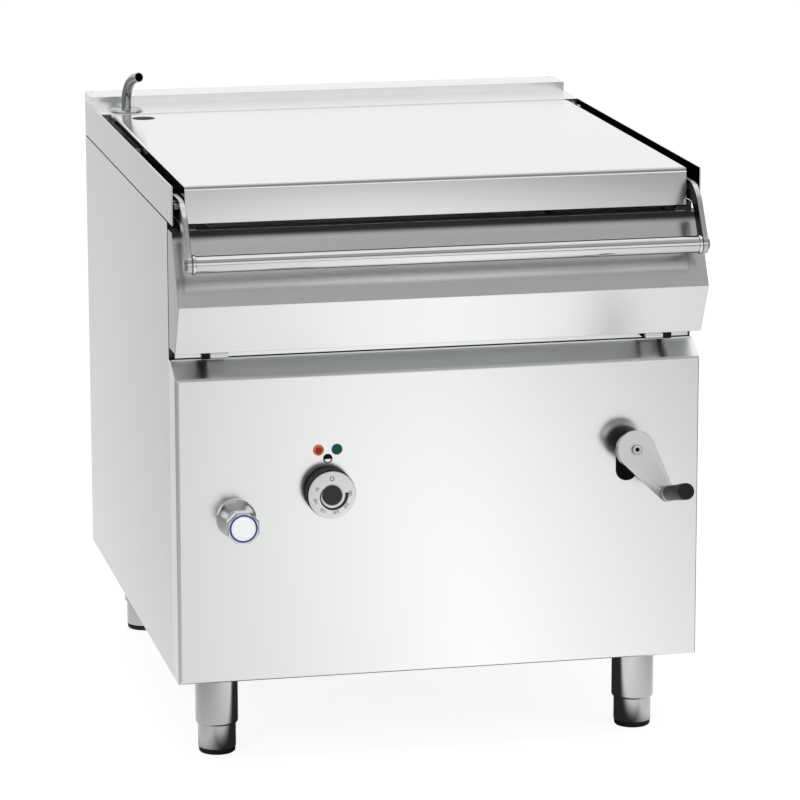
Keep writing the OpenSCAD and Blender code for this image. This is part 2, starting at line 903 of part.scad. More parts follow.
module handle_bar() {
    x = lid_half - ferrule_w;
    color("silver") placed() {
        difference() {
            union() {
                rod_x([-x, x], bar_y, bar_z, bar_r);
                pair() rod_x([x - cut, arm_in], bar_y, bar_z, ferrule_r);
            }
            rod_x([-x + ferrule_w * 2, x - ferrule_w * 2], bar_y, bar_z, bar_r - bar_wall);
            pair() rod_x([x - ferrule_w - cut, arm_in + cut], bar_y, bar_z, bolt_r + run_gap);
        }
    }
}

module lid_hinge_arms() {
    y = [lid_piv_y - hinge_arm_l, lid_piv_y];
    color("gray") placed() pair() {
        difference() {
            across([arm_in, arm_out]) {
                bar_outline([y[0], lid_piv_z], [y[1], lid_piv_z], hinge_arm_h / 2);
            }
            rod_x([arm_in - cut, arm_out + cut], lid_piv_y, lid_piv_z, lid_pin_r + run_gap);
        }
        for (s = hinge_bolt_shares)
            rod_x([lid_half, arm_in], y[0] + hinge_arm_l * s, lid_piv_z - lid_r / 2, bolt_head_r);
    }
}

module lid_bolts() {
    head = [arm_out, arm_out + bolt_head_h];
    color("silver") placed() pair() {
        for (s = arm_bolt_shares) rod_x(head, arm_y + arm_tail * s, arm_z, bolt_head_r);
        for (s = hinge_bolt_shares)
            rod_x(head, lid_piv_y - hinge_arm_l * (1 - s), lid_piv_z - lid_r / 2, bolt_head_r);
        rod_x(head, bar_y, bar_z, bolt_head_r + bolt_r);
        rod_x([lid_half - ferrule_w * 2, arm_out], bar_y, bar_z, bolt_r);
    }
}

// Filling spout

module spout() {
    end = spout_reach - spout_bend_r * (1 - cos(spout_bend));
    up = spout_rise - spout_bend_r * sin(spout_bend) - end * cos(spout_bend);
    color("silver") placed() translate([spout_x, spout_y, z_work])
        rotate([0, 0, spout_turn - 90]) difference() {
            spout_form(spout_r, up, end, 0);
            spout_form(spout_r - spout_wall, up, end, cut);
        }
}

module spout_form(r, up, end, extra) {
    translate([0, 0, -spout_down - extra]) cylinder(h = up + spout_down + extra, r = r);
    translate([spout_bend_r, 0, up]) rotate([90, 0, 0]) rotate([0, 0, 180 - spout_bend])
        rotate_extrude(angle = spout_bend) translate([spout_bend_r, 0]) circle(r, $fn = spout_points);
    translate([spout_bend_r * (1 - cos(spout_bend)), 0, up + spout_bend_r * sin(spout_bend)])
        rotate([0, spout_bend, 0]) cylinder(h = end + extra, r = r);
}
spout_down = 20;
spout_points = 48;

module spout_rosette() {
    color("silver") placed() translate([spout_x, spout_y, z_work]) rotate_extrude()
        polygon([[spout_r + run_gap, 0], [rosette_spout_r, 0], [rosette_spout_r, rosette_spout_h / 3],
            [rosette_spout_r - rosette_spout_h, rosette_spout_h], [spout_r + run_gap, rosette_spout_h]]);
}

// Water valve behind the front panel, with its pipes

module valve_body() {
    y = [sheet, sheet + valve_block];
    color("goldenrod") placed() difference() {
        union() {
            rod_y(valve_x, y, valve_z, valve_block / 2);
            rod_x([valve_x - valve_block, valve_x], (y[0] + y[1]) / 2, valve_z, pipe_r + side_gap * 3);
            rod_z(valve_x, (y[0] + y[1]) / 2, [valve_z - valve_block, valve_z], pipe_r + side_gap * 3);
        }
        rod_y(valve_x, [y[0] - cut, (y[0] + y[1]) / 2], valve_z, stem_r + run_gap);
    }
}

// A pipe with an elbow at each inner corner of its route
module pipe(route) {
    for (i = [0 : len(route) - 2]) let (a = route[i], b = route[i + 1], d = b - a, long = norm(d))
        translate(a) rotate([0, acos(d[2] / long), atan2(d[1], d[0])]) cylinder(h = long, r = pipe_r);
    for (i = [1 : len(route) - 2]) translate(route[i]) sphere(elbow_r);
}
elbow_r = 8;

module water_pipe() {
    y = sheet + valve_block / 2;
    color("darkgoldenrod") placed() pipe([[valve_x - valve_block, y, valve_z], [spout_x, y, valve_z],
        [spout_x, spout_y, valve_z], [spout_x, spout_y, z_work - spout_down]]);
}

module supply_pipe() {
    y = sheet + valve_block / 2;
    z = valve_z - supply_drop;
    y_in = cab_d - inlet_ahead;
    color("darkgoldenrod") placed() pipe([[valve_x, y, valve_z - valve_block], [valve_x, y, z],
        [valve_x, y_in, z], [valve_x, y_in, z_low + inlet_l / 2]]);
}

module water_inlet() {
    y = cab_d - inlet_ahead;
    color("goldenrod") placed() difference() {
        union() {
            rod_z(valve_x, y, [z_low - inlet_l, z_low + inlet_l / 2], inlet_r);
            translate([valve_x, y, z_low - inlet_hex_h]) cylinder(h = inlet_hex_h, r = inlet_hex, $fn = 6);
            translate([valve_x, y, z_low + sheet]) cylinder(h = inlet_hex_h, r = inlet_hex, $fn = 6);
        }
        rod_z(valve_x, y, [z_low - inlet_l - cut, z_low], pipe_r + side_gap * 3);
    }
}

module valve_rosette() {
    color("lightgray") placed() difference() {
        cone_y(valve_x, [-rosette_h, 0], valve_z, rosette_top_r, rosette_r);
        rod_y(valve_x, [-rosette_h - cut, cut], valve_z, stem_r + side_gap * 2);
    }
}

module valve_knob() {
    color("silver") placed() {
        rod_y(valve_x, [-knob_near, sheet + valve_block / 4], valve_z, stem_r);
        translate([valve_x, -knob_near, valve_z]) rotate([90, 22.5, 0])
            cylinder(h = knob_d, r = knob_w / 2 / cos(22.5), $fn = 8);
        rod_y(valve_x, [-knob_near - knob_d - side_gap, -knob_near - knob_d], valve_z, ring_r);
    }
}

module valve_cap() {
    y = -knob_near - knob_d - side_gap;
    color("white") placed() {
        cone_y(valve_x, [y - valve_cap_h, y], valve_z, valve_cap_r - valve_cap_h, valve_cap_r);
    }
}

// Thermostat and lamps

module thermostat_body() {
    color("dimgray") placed() difference() {
        block([dial_x - thermo_w / 2, dial_x + thermo_w / 2], [sheet, sheet + thermo_d],
            [dial_z - thermo_w / 2, dial_z + thermo_w / 2]);
        rod_y(dial_x, [sheet - cut, sheet + dial_shaft_in + cut], dial_z, dial_shaft_r + run_gap);
    }
}

module dial_shaft() {
    color("silver") placed()
        rod_y(dial_x, [-dial_off - dial_d / 2, sheet + dial_shaft_in], dial_z, dial_shaft_r);
}

// Each ridge of the skirt and the groove beside it: shares of the ridge pitch, and of the groove's depth
knurl_shares = [[-0.25, 0], [0.25, 0], [0.4, 1], [0.6, 1]];

module dial_skirt() {
    r = dial_r + skirt_extra;
    y = [-dial_off - dial_d, -dial_off];
    color("black") placed() difference() {
        translate([dial_x, y[1], dial_z]) rotate([90, 0, 0]) linear_extrude(dial_d)
            polygon([for (i = [0 : knurl_count - 1], k = knurl_shares)
                polar(r - k[1] * knurl_depth, (i + k[0]) * 360 / knurl_count)]);
        rod_y(dial_x, [-dial_off - dial_d / 2, cut], dial_z, dial_shaft_r);
    }
}

module dial_face() {
    y = -dial_off - dial_d;
    color("lightgray") placed() {
        rod_y(dial_x, [y - face_t, y], dial_z, dial_r);
        rod_y(dial_x, [y - face_t - cap_h, y - face_t], dial_z, cap_r);
    }
}

module lamp(x) {
    cone_y(x, [-lamp_out, 0], dial_z + lamp_up, lamp_r - lamp_out / 3, lamp_r);
    rod_y(x, [0, lamp_body_l], dial_z + lamp_up, lamp_body_r);
}

module lamp_orange() { color("orangered") placed() lamp(dial_x - lamp_dx); }

module lamp_green() { color("seagreen") placed() lamp(dial_x + lamp_dx); }

module index_disc() { color("black") placed() rod_y(dial_x, [-index_out, 0], dial_z + index_up, index_r); }

// Electrical pieces and screws

module terminal_box() {
    y = cab_d - term_ahead;
    color("lightgray") placed()
        block([term_x - term_w / 2, term_x + term_w / 2], [y - term_d / 2, y + term_d / 2],
            [z_low + sheet, z_low + sheet + term_h]);
}

module cable_gland() {
    y = cab_d - gland_gap;
    color("dimgray") placed() difference() {
        union() {
            rod_z(term_x, y, [z_low - gland_l, z_low + sheet + gland_hex_h], gland_r);
            translate([term_x, y, z_low - gland_hex_h]) cylinder(h = gland_hex_h, r = gland_hex, $fn = 6);
            translate([term_x, y, z_low + sheet]) cylinder(h = gland_hex_h, r = gland_hex, $fn = 6);
        }
        rod_z(term_x, y, [z_low - gland_l - cut, z_low + sheet + gland_hex_h + cut], gland_bore);
    }
}

screw_r = 5;
screw_h = 2;
screw_in = 14;
screw_rows = 5;

module panel_screws() {
    y = y_back + sheet;
    z = [z_low + screw_in * 2, z_work - screw_in * 3];
    color("silver") placed() pair() for (i = [0 : screw_rows - 1])
        rod_y(rail_in - screw_in, [y, y + screw_h], z[0] + (z[1] - z[0]) * i / (screw_rows - 1), screw_r);
}

// Tilt drive

module crank_shield() {
    reach = slot_w / 2 + shield_edge;
    color("black") placed() difference() {
        block([crank_x - reach, crank_x + reach], [sheet, sheet + shield_t],
            [slot_z - slot_down - reach, slot_z + slot_up + reach]);
        translate([crank_x, piv_y, piv_z]) rotate([-drive_tilt, 0, 0])
            rod_y(0, [0, crank_drop / 2], -crank_drop, shaft_r + seat_gap);
    }
}

module gearbox() {
    x = [-box_x / 2, box_x / 2];
    y = [worm_y - box_y / 2, worm_y + box_y / 2];
    z = [-crank_drop - box_z / 2, -crank_drop + box_z / 2];
    color("steelblue") drive() difference() {
        union() {
            block(x, y, z);
            rod_y(0, [y[0] - boss_l, y[0]], -crank_drop, boss_r);
            rod_z(0, worm_y, [z[1], z[1] + boss_l], boss_r);
        }
        rod_y(0, [y[0] - boss_l - cut, y[0] + journal_in], -crank_drop, shaft_r + run_gap);
        rod_z(0, worm_y, [z[1] - journal_in, z[1] + boss_l + cut], shaft_r + run_gap);
    }
}

module drive_bracket() {
    x = [box_x / 2, box_x / 2 + lug_plate_t];
    y = [worm_y - plate_front, worm_y + plate_rear];
    z = [-crank_drop - box_z / 2, worm_half + side_gap * 2 + top_lug_h];
    wall = inner_w - crank_x;
    color("gray") drive() difference() {
        union() {
            block(x, y, z);
            block([-boss_r, x[0]], [worm_y - top_lug_front, worm_y + top_lug_rear],
                [z[1] - top_lug_h, z[1]]);
            for (b = [z[0], z[0] + box_z]) block([x[1], wall], y, [b, b + tie_t]);
        }
        rod_z(0, worm_y, [z[1] - top_lug_h - cut, z[1] + cut], shaft_r + run_gap);
    }
}

// Height of the worm's thread, by the share of a turn from its crest
crest_half_share = 0.12;
flank_share = 0.15;

function thread_rise(s) =
    let (d = min(s, 1 - s))
    d <= crest_half_share ? 1 : d >= crest_half_share + flank_share ? 0
        : 1 - (d - crest_half_share) / flank_share;

// A corner of the worm's outline, a share of a turn from its crest
function thread_point(s) =
    polar(worm_root + (worm_tip - backlash / 2 - worm_root) * thread_rise(s), 360 * s);

worm_points = 20;
worm_slices = 10;

module worm_shaft() {
    turns = worm_half * 2 / thread_pitch;
    color("silver") drive() translate([0, worm_y, 0]) {
        translate([0, 0, -worm_half]) rotate([0, 0, 90 - 360 * worm_half / thread_pitch])
            linear_extrude(worm_half * 2, twist = -360 * turns, slices = ceil(turns * worm_slices),
                $fn = worm_points) polygon([for (i = [0 : worm_points - 1]) thread_point(i / worm_points)]);
        translate([0, 0, worm_half]) cylinder(h = side_gap + top_lug_h, r = shaft_r);
        translate([0, 0, -crank_drop + box_z / 2 - journal_in + end_gap])
            cylinder(h = crank_drop - box_z / 2 + journal_in - end_gap - worm_half, r = shaft_r);
    }
}

module crank_shaft() {
    color("silver") drive()
        rod_y(0, [plate_y, worm_y - box_y / 2 + journal_in - end_gap], -crank_drop, shaft_r);
}

// Children drawn in the crank's plane, at its grip end
module at_grip() {
    translate([0, 0, -crank_drop]) rotate([0, -crank_angle, 0]) translate([0, 0, -crank_r]) children();
}

module crank_arm() {
    color("silver") drive() {
        translate([0, plate_y, -crank_drop]) rotate([90, 0, 0]) linear_extrude(plate_t)
            rotate(crank_angle) teardrop(plate_big_r, plate_small_r, crank_r);
        difference() {
            rod_y(0, [plate_y, plate_y + hub_l], -crank_drop, hub_r);
            rod_y(0, [plate_y, plate_y + hub_l + cut], -crank_drop, shaft_r + run_gap);
        }
        at_grip() {
            rod_y(0, [plate_y - plate_t - collar_l, plate_y - plate_t / 2], 0, collar_r);
            rod_y(0, [plate_y - plate_t - collar_l - grip_l + grip_edge, plate_y], 0, spindle_r);
        }
    }
}

module crank_bolt() {
    y = plate_y - plate_t;
    color("lightgray") drive() difference() {
        rod_y(0, [y - crank_bolt_h, y], -crank_drop, crank_bolt_r);
        translate([0, y - crank_bolt_h / 2, -crank_drop]) rotate([90, 0, 0])
            cylinder(h = crank_bolt_h, r = socket_r, $fn = 6);
    }
}

module crank_grip() {
    near = plate_y - plate_t - collar_l - seat_gap;
    far = plate_y - plate_t - collar_l - grip_l;
    color("black") drive() at_grip() rotate([90, 0, 0]) rotate_extrude()
        polygon([[spindle_r + run_gap, -near], [grip_r - grip_edge, -near], [grip_r, -near + grip_edge],
            [grip_r, -far - grip_edge], [grip_r - grip_edge, -far], [0, -far],
            [0, -far - grip_edge + run_gap], [spindle_r + run_gap, -far - grip_edge + run_gap]]);
}

front_panel();
side_panel_left();
side_panel_right();
back_panel();
base_panel();
front_rail();
rear_worktop();
side_rail_left();
side_rail_right();
hinge_blocks();
hinge_pins();
crank_shield();
gearbox();
drive_bracket();
legs();
spout();
spout_rosette();
valve_body();
valve_rosette();
water_pipe();
supply_pipe();
water_inlet();
thermostat_body();
lamp_orange();
lamp_green();
index_disc();
terminal_box();
cable_gland();
panel_screws();
foot_front_left();
foot_front_right();
foot_rear_left();
foot_rear_right();
pan_well();
pan_base();
nose_casing();
pan_casing();
tilt_arms();
heating_elements();
heater_cover();
tilt_quadrant();
lid_lugs();
lid_buffers();
lid_outer();
lid_liner();
filler_collar();
handle_arms();
handle_bar();
lid_hinge_arms();
lid_bolts();
worm_shaft();
crank_shaft();
crank_arm();
crank_bolt();
crank_grip();
dial_shaft();
dial_skirt();
dial_face();
valve_knob();
valve_cap();
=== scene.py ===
# Looks for a tilting bratt pan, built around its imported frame
import json
import math
import bmesh
import bpy
from mathutils import Matrix, Vector


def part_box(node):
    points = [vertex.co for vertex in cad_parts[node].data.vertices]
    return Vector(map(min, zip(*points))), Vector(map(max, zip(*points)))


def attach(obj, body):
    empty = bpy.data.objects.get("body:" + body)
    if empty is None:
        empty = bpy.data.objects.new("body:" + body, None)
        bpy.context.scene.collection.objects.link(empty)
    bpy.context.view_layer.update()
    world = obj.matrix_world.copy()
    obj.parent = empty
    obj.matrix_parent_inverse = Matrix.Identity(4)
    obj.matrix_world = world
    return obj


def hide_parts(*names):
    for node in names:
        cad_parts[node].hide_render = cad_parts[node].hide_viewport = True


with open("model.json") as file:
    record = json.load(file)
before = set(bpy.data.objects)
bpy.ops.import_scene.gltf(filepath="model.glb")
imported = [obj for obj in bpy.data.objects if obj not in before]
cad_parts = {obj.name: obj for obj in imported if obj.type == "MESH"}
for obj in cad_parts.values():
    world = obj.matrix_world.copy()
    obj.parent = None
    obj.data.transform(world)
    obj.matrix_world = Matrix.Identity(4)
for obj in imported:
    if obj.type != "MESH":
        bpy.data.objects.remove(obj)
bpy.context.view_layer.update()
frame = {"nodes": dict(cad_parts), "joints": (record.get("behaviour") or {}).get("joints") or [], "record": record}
nodes = frame["nodes"]
mm = 0.001
print("frame loaded:", len(nodes), "nodes")


# Camera at the photograph's viewing angle

camera = {
    "place": (-1.3523, -6.302954, 1.9011),
    "turn": (1.352796, 0.001757, -0.214189),
    "lens": 188.60,
    "sensor": 36.0,
    "farthest": 200,
}


def placeCamera():
    lensData = bpy.data.cameras.new("studioCamera")
    lensData.lens = camera["lens"]
    lensData.sensor_width = camera["sensor"]
    lensData.clip_end = camera["farthest"]
    view = bpy.data.objects.new("studioCamera", lensData)
    bpy.context.scene.collection.objects.link(view)
    view.location = camera["place"]
    view.rotation_euler = camera["turn"]
    bpy.context.scene.camera = view


placeCamera()
bpy.context.scene.view_settings.view_transform = "Standard"


# Node helpers

def feed(tree, node, inputs):
    # gives a node's inputs a value, another node's output or a list of outputs
    for socket, value in inputs.items():
        for source in value if isinstance(value, list) else [value]:
            if isinstance(source, bpy.types.NodeSocket):
                tree.links.new(source, node.inputs[socket])
            else:
                node.inputs[socket].default_value = source


def addNode(tree, kind, inputs=None, **settings):
    made = tree.nodes.new(kind)
    for key, value in settings.items():
        setattr(made, key, value)
    feed(tree, made, inputs or {})
    return made


def numberNode(tree, operation, *values):
    # a Math node on numbers or outputs
    return addNode(tree, "ShaderNodeMath", dict(enumerate(values)), operation=operation).outputs["Value"]


def ranged(tree, value, low, high, toLow=0, toHigh=1, kind="SMOOTHSTEP"):
    # a value taken from one range to another
    span = {"Value": value, "From Min": low, "From Max": high, "To Min": toLow, "To Max": toHigh}
    return addNode(tree, "ShaderNodeMapRange", span, interpolation_type=kind).outputs["Result"]


def mixed(tree, factor, first, second, kind="RGBA", blend="MIX"):
    inputs = {"Factor": factor, "A": first, "B": second}
    return addNode(tree, "ShaderNodeMix", inputs, data_type=kind, blend_type=blend).outputs["Result"]


def dimmed(tree, tone, amount):
    # a colour times a value
    inputs = {0: tone, "Scale": amount}
    return addNode(tree, "ShaderNodeVectorMath", inputs, operation="SCALE").outputs["Vector"]


# Grain groups and finishes

def startGroup(name, inputs):
    # a shader group with named inputs that gives a colour, a roughness and a height
    group = bpy.data.node_groups.new(name, "ShaderNodeTree")
    for label, (kind, value) in inputs.items():
        socket = group.interface.new_socket(name=label, in_out="INPUT", socket_type="NodeSocket" + kind)
        if value is not None:
            socket.default_value = value
    for label, kind in (("Color", "Color"), ("Roughness", "Float"), ("Height", "Float")):
        group.interface.new_socket(name=label, in_out="OUTPUT", socket_type="NodeSocket" + kind)
    return group, addNode(group, "NodeGroupInput").outputs


def satinGrainGroup():
    # fine lines of a ground sheet, with broad soft patches
    group, given = startGroup("satinGrain", {
        "Vector": ("Vector", None),
        "Stretch": ("Vector", (1, 1, 1)),
        "Fineness": ("Float", 900),
        "Rough Low": ("Float", 0.2),
        "Rough High": ("Float", 0.3),
        "Dark": ("Color", (0.7, 0.7, 0.7, 1)),
        "Light": ("Color", (0.8, 0.8, 0.8, 1)),
    })
    lay = addNode(group, "ShaderNodeMapping", {"Vector": given["Vector"], "Scale": given["Stretch"]})
    lines = addNode(group, "ShaderNodeTexNoise", {
        "Vector": lay.outputs["Vector"], "Scale": given["Fineness"], "Detail": 3, "Roughness": 0.6})
    patches = addNode(group, "ShaderNodeTexNoise", {"Vector": given["Vector"], "Scale": 3.5, "Detail": 2})
    blend = mixed(group, 0.35, lines.outputs["Fac"], patches.outputs["Fac"], "FLOAT")
    rough = ranged(group, blend, 0.3, 0.7, given["Rough Low"], given["Rough High"], "LINEAR")
    tone = mixed(group, blend, given["Dark"], given["Light"])
    addNode(group, "NodeGroupOutput", {"Color": tone, "Roughness": rough, "Height": lines.outputs["Fac"]})
    return group


def mouldSkinGroup():
    # fine pebbled skin of moulded plastic and cast iron, with faint handling marks
    group, given = startGroup("mouldSkin", {
        "Vector": ("Vector", None),
        "Pebble": ("Float", 700),
        "Rough Low": ("Float", 0.4),
        "Rough High": ("Float", 0.6),
        "Dark": ("Color", (0.1, 0.1, 0.1, 1)),
        "Light": ("Color", (0.2, 0.2, 0.2, 1)),
    })
    pebble = addNode(group, "ShaderNodeTexVoronoi", {"Vector": given["Vector"], "Scale": given["Pebble"]})
    marks = addNode(group, "ShaderNodeTexNoise", {"Vector": given["Vector"], "Scale": 40, "Detail": 4})
    rough = ranged(group, marks.outputs["Fac"], 0.35, 0.65, given["Rough Low"], given["Rough High"], "LINEAR")
    tone = mixed(group, marks.outputs["Fac"], given["Dark"], given["Light"])
    height = pebble.outputs["Distance"]
    addNode(group, "NodeGroupOutput", {"Color": tone, "Roughness": rough, "Height": height})
    return group


satinGrain = satinGrainGroup()
mouldSkin = mouldSkinGroup()
along = {"x": (0.04, 1, 1), "y": (1, 0.04, 1), "z": (1, 1, 0.04), "none": (1, 1, 1)}
# facing range over which the painted grazing shade sets in
turnedAway = {"blend": 0.5, "start": 0.55, "end": 0.86}
skin = {"spread": 0.06, "coatRough": 0.08}


def shade(color, factor):
    return tuple(min(1, channel * factor) for channel in color) + (1,)


def startMaterial(name, group, color, contrast, depth, strength, inputs):
    # a material whose tone, roughness and bump come from a grain group
    material = bpy.data.materials.new(name)
    material.use_nodes = True
    tree = material.node_tree
    shader = tree.nodes["Principled BSDF"]
    place = addNode(tree, "ShaderNodeTexCoord").outputs["Object"]
    grain = addNode(tree, "ShaderNodeGroup", {
        "Vector": place, "Dark": shade(color, 1 - contrast), "Light": shade(color, 1 + contrast), **inputs},
        node_tree=group)
    bump = addNode(tree, "ShaderNodeBump", {
        "Height": grain.outputs["Height"], "Distance": depth, "Strength": strength})
    feed(tree, shader, {"Roughness": grain.outputs["Roughness"], "Normal": bump.outputs["Normal"]})
    return material, tree, shader, grain.outputs["Color"]


def metalFinish(name, color, rough, spread=0.012, grain="x", fineness=900, depth=0.01 * mm, strength=0.02,
                contrast=0.004, fade=None, paintedGrazingShade=None):
    material, tree, shader, tone = startMaterial(name, satinGrain, color, contrast, depth, strength, {
        "Stretch": along[grain], "Fineness": fineness,
        "Rough Low": rough - spread, "Rough High": rough + spread})
    shader.inputs["Metallic"].default_value = 1
    if fade:
        # painted shade: darker and less shiny over a band of heights, where a sheet runs into a closed gap
        place = addNode(tree, "ShaderNodeTexCoord").outputs["Object"]
        height = addNode(tree, "ShaderNodeSeparateXYZ", {"Vector": place}).outputs["Z"]
        band = ranged(tree, height, fade[0], fade[1], 1, fade[2])
        tone = dimmed(tree, tone, band)
        feed(tree, shader, {"Metallic": band, "Specular IOR Level": band})
    if paintedGrazingShade is not None:
        # painted shade: darker where the surface turns away, standing in for the dark reflections along a round
        # polished bar's edges
        facing = addNode(tree, "ShaderNodeLayerWeight", {"Blend": turnedAway["blend"]}).outputs["Facing"]
        tone = dimmed(tree, tone, ranged(tree, facing, turnedAway["start"], turnedAway["end"], 1, paintedGrazingShade))
        shader.inputs["Specular Tint"].default_value = (paintedGrazingShade, paintedGrazingShade, paintedGrazingShade, 1)
    feed(tree, shader, {"Base Color": tone})
    return material


def plasticFinish(name, color, rough, pebble=700, depth=0.05 * mm, strength=0.2, contrast=0.12, coat=0,
                  shine=0.5):
    spread = skin["spread"]
    material, tree, shader, tone = startMaterial(name, mouldSkin, color, contrast, depth, strength, {
        "Pebble": pebble, "Rough Low": rough - spread, "Rough High": rough + spread})
    feed(tree, shader, {"Base Color": tone, "Specular IOR Level": shine, "Coat Weight": coat,
                        "Coat Roughness": skin["coatRough"]})
    return material


metals = {
    "panelSteel": dict(color=(0.80, 0.81, 0.81), rough=0.2),
    "sideSteel": dict(color=(0.78, 0.795, 0.795), rough=0.26, grain="y"),
    # painted shade: near-black steel for faces that sit in shade
    "paintedShadeSteel": dict(color=(0.07, 0.07, 0.072), rough=0.34, grain="y", paintedGrazingShade=0.15),
    "lidSteel": dict(color=(0.81, 0.815, 0.815), rough=0.2),
    "casingSteel": dict(color=(0.70, 0.71, 0.705), rough=0.24),
    # painted shade: the nose casing darkens towards its top, under the lid's edge
    "browSteelPaintedTopShade": dict(color=(0.78, 0.79, 0.785), rough=0.2, fade=(0.800, 0.813, 0.03)),
    # painted shade: darker steel for the nose casing's ends
    "noseEndPaintedShade": dict(color=(0.36, 0.365, 0.365), rough=0.2, grain="z"),
    "noseSteel": dict(color=(0.80, 0.81, 0.805), rough=0.32),
    "bevelSteel": dict(color=(0.80, 0.81, 0.81), rough=0.3),
    # painted shade: dark steel on the front panel's upright folds
    "foldPaintedShade": dict(color=(0.24, 0.24, 0.242), rough=0.3, grain="z"),
    # painted shade: a darker line on the lid's rounded front fold
    "lidFold": dict(color=(0.50, 0.505, 0.505), rough=0.25),
    "wellSteel": dict(color=(0.66, 0.67, 0.67), rough=0.32, grain="y"),
    "tubeSteel": dict(color=(0.50, 0.505, 0.5), rough=0.16, grain="z", contrast=0.04),
    "spoutSteel": dict(color=(0.40, 0.41, 0.41), rough=0.12, grain="z", contrast=0.03),
    "armSteel": dict(color=(0.56, 0.565, 0.565), rough=0.2, grain="z"),
    # painted shade: near-black for the handle arms' inner faces
    "armPaintedShade": dict(color=(0.10, 0.10, 0.10), rough=0.3, grain="z", paintedGrazingShade=0.5),
    # painted shade: the lid's hinge arms sit in the dark side gaps and are painted near-black
    "hingeSteel": dict(color=(0.12, 0.12, 0.122), rough=0.3, grain="y", contrast=0.05, paintedGrazingShade=0.3),
    "frameSteel": dict(color=(0.45, 0.46, 0.47), rough=0.36, contrast=0.06),
    "driveSteel": dict(color=(0.50, 0.51, 0.53), rough=0.3, grain="z", contrast=0.06),
    # the grip collar's own darker steel, also used as painted shade on the crank plate's sides
    "collarSteelAndPaintedShade": dict(color=(0.26, 0.26, 0.262), rough=0.2, grain="none", contrast=0.05),
    "crankSteel": dict(color=(0.66, 0.67, 0.66), rough=0.36, grain="none", fineness=1400, contrast=0.02),
    "brightChrome": dict(color=(0.70, 0.71, 0.72), rough=0.07, spread=0.02),
    "barChrome": dict(color=(0.66, 0.665, 0.665), rough=0.1, spread=0.02, paintedGrazingShade=0.04),
    # dark steel for the lid bolts, also used as painted shade round the crank bolt
    "boltSteelAndPaintedShade": dict(color=(0.26, 0.26, 0.265), rough=0.14, spread=0.02),
    "dialSilver": dict(color=(0.74, 0.74, 0.74), rough=0.38, grain="none", fineness=2200, strength=0.2,
                       contrast=0.05),
    "plainBrass": dict(color=(0.72, 0.55, 0.28), rough=0.3, contrast=0.08),
    "hotElement": dict(color=(0.20, 0.18, 0.17), rough=0.5, contrast=0.2),
}
plastics = {
    "paintedIron": dict(color=(0.12, 0.14, 0.16), rough=0.5, pebble=260, depth=0.2 * mm, strength=0.35),
    # painted shade: the tilt arms are painted black so the slots they run in read as dark gaps
    "armBlack": dict(color=(0.006, 0.006, 0.006), rough=0.5, shine=0.1),
    "gripBlack": dict(color=(0.014, 0.014, 0.015), rough=0.42, pebble=900, shine=0.1),
    "mattBlack": dict(color=(0.004, 0.004, 0.0045), rough=0.45, shine=0.08),
    # painted shade: black inside bores and sockets
    "borePaintedShade": dict(color=(0.003, 0.003, 0.003), rough=0.7, shine=0.05),
    "shieldBlack": dict(color=(0.003, 0.003, 0.003), rough=0.7, shine=0.05),
    "capGrey": dict(color=(0.024, 0.025, 0.026), rough=0.45, pebble=1100, shine=0.2),
    "boxGrey": dict(color=(0.42, 0.43, 0.44), rough=0.5),
    "capWhite": dict(color=(0.84, 0.85, 0.86), rough=0.2, strength=0.05, contrast=0.02, coat=0.5),
    "ringBlue": dict(color=(0.04, 0.052, 0.27), rough=0.3, strength=0.05, shine=0.3),
    "lensOrange": dict(color=(0.66, 0.14, 0.03), rough=0.22, strength=0.1, shine=0.3),
    "lensRed": dict(color=(0.30, 0.035, 0.02), rough=0.25, strength=0.1, shine=0.3),
    "lensGreen": dict(color=(0.012, 0.10, 0.09), rough=0.22, strength=0.1, shine=0.3),
    "printGrey": dict(color=(0.03, 0.03, 0.031), rough=0.6, strength=0.05, shine=0.1),
    "printWhite": dict(color=(0.85, 0.85, 0.85), rough=0.5, strength=0.05, contrast=0.03),
    "bufferRubber": dict(color=(0.02, 0.02, 0.021), rough=0.7, shine=0.2),
    "footBlack": dict(color=(0.008, 0.008, 0.008), rough=0.6, shine=0.2),
}
finishes = {name: metalFinish(name, **looks) for name, looks in metals.items()}
finishes.update({name: plasticFinish(name, **looks) for name, looks in plastics.items()})
print("finishes made:", len(finishes))


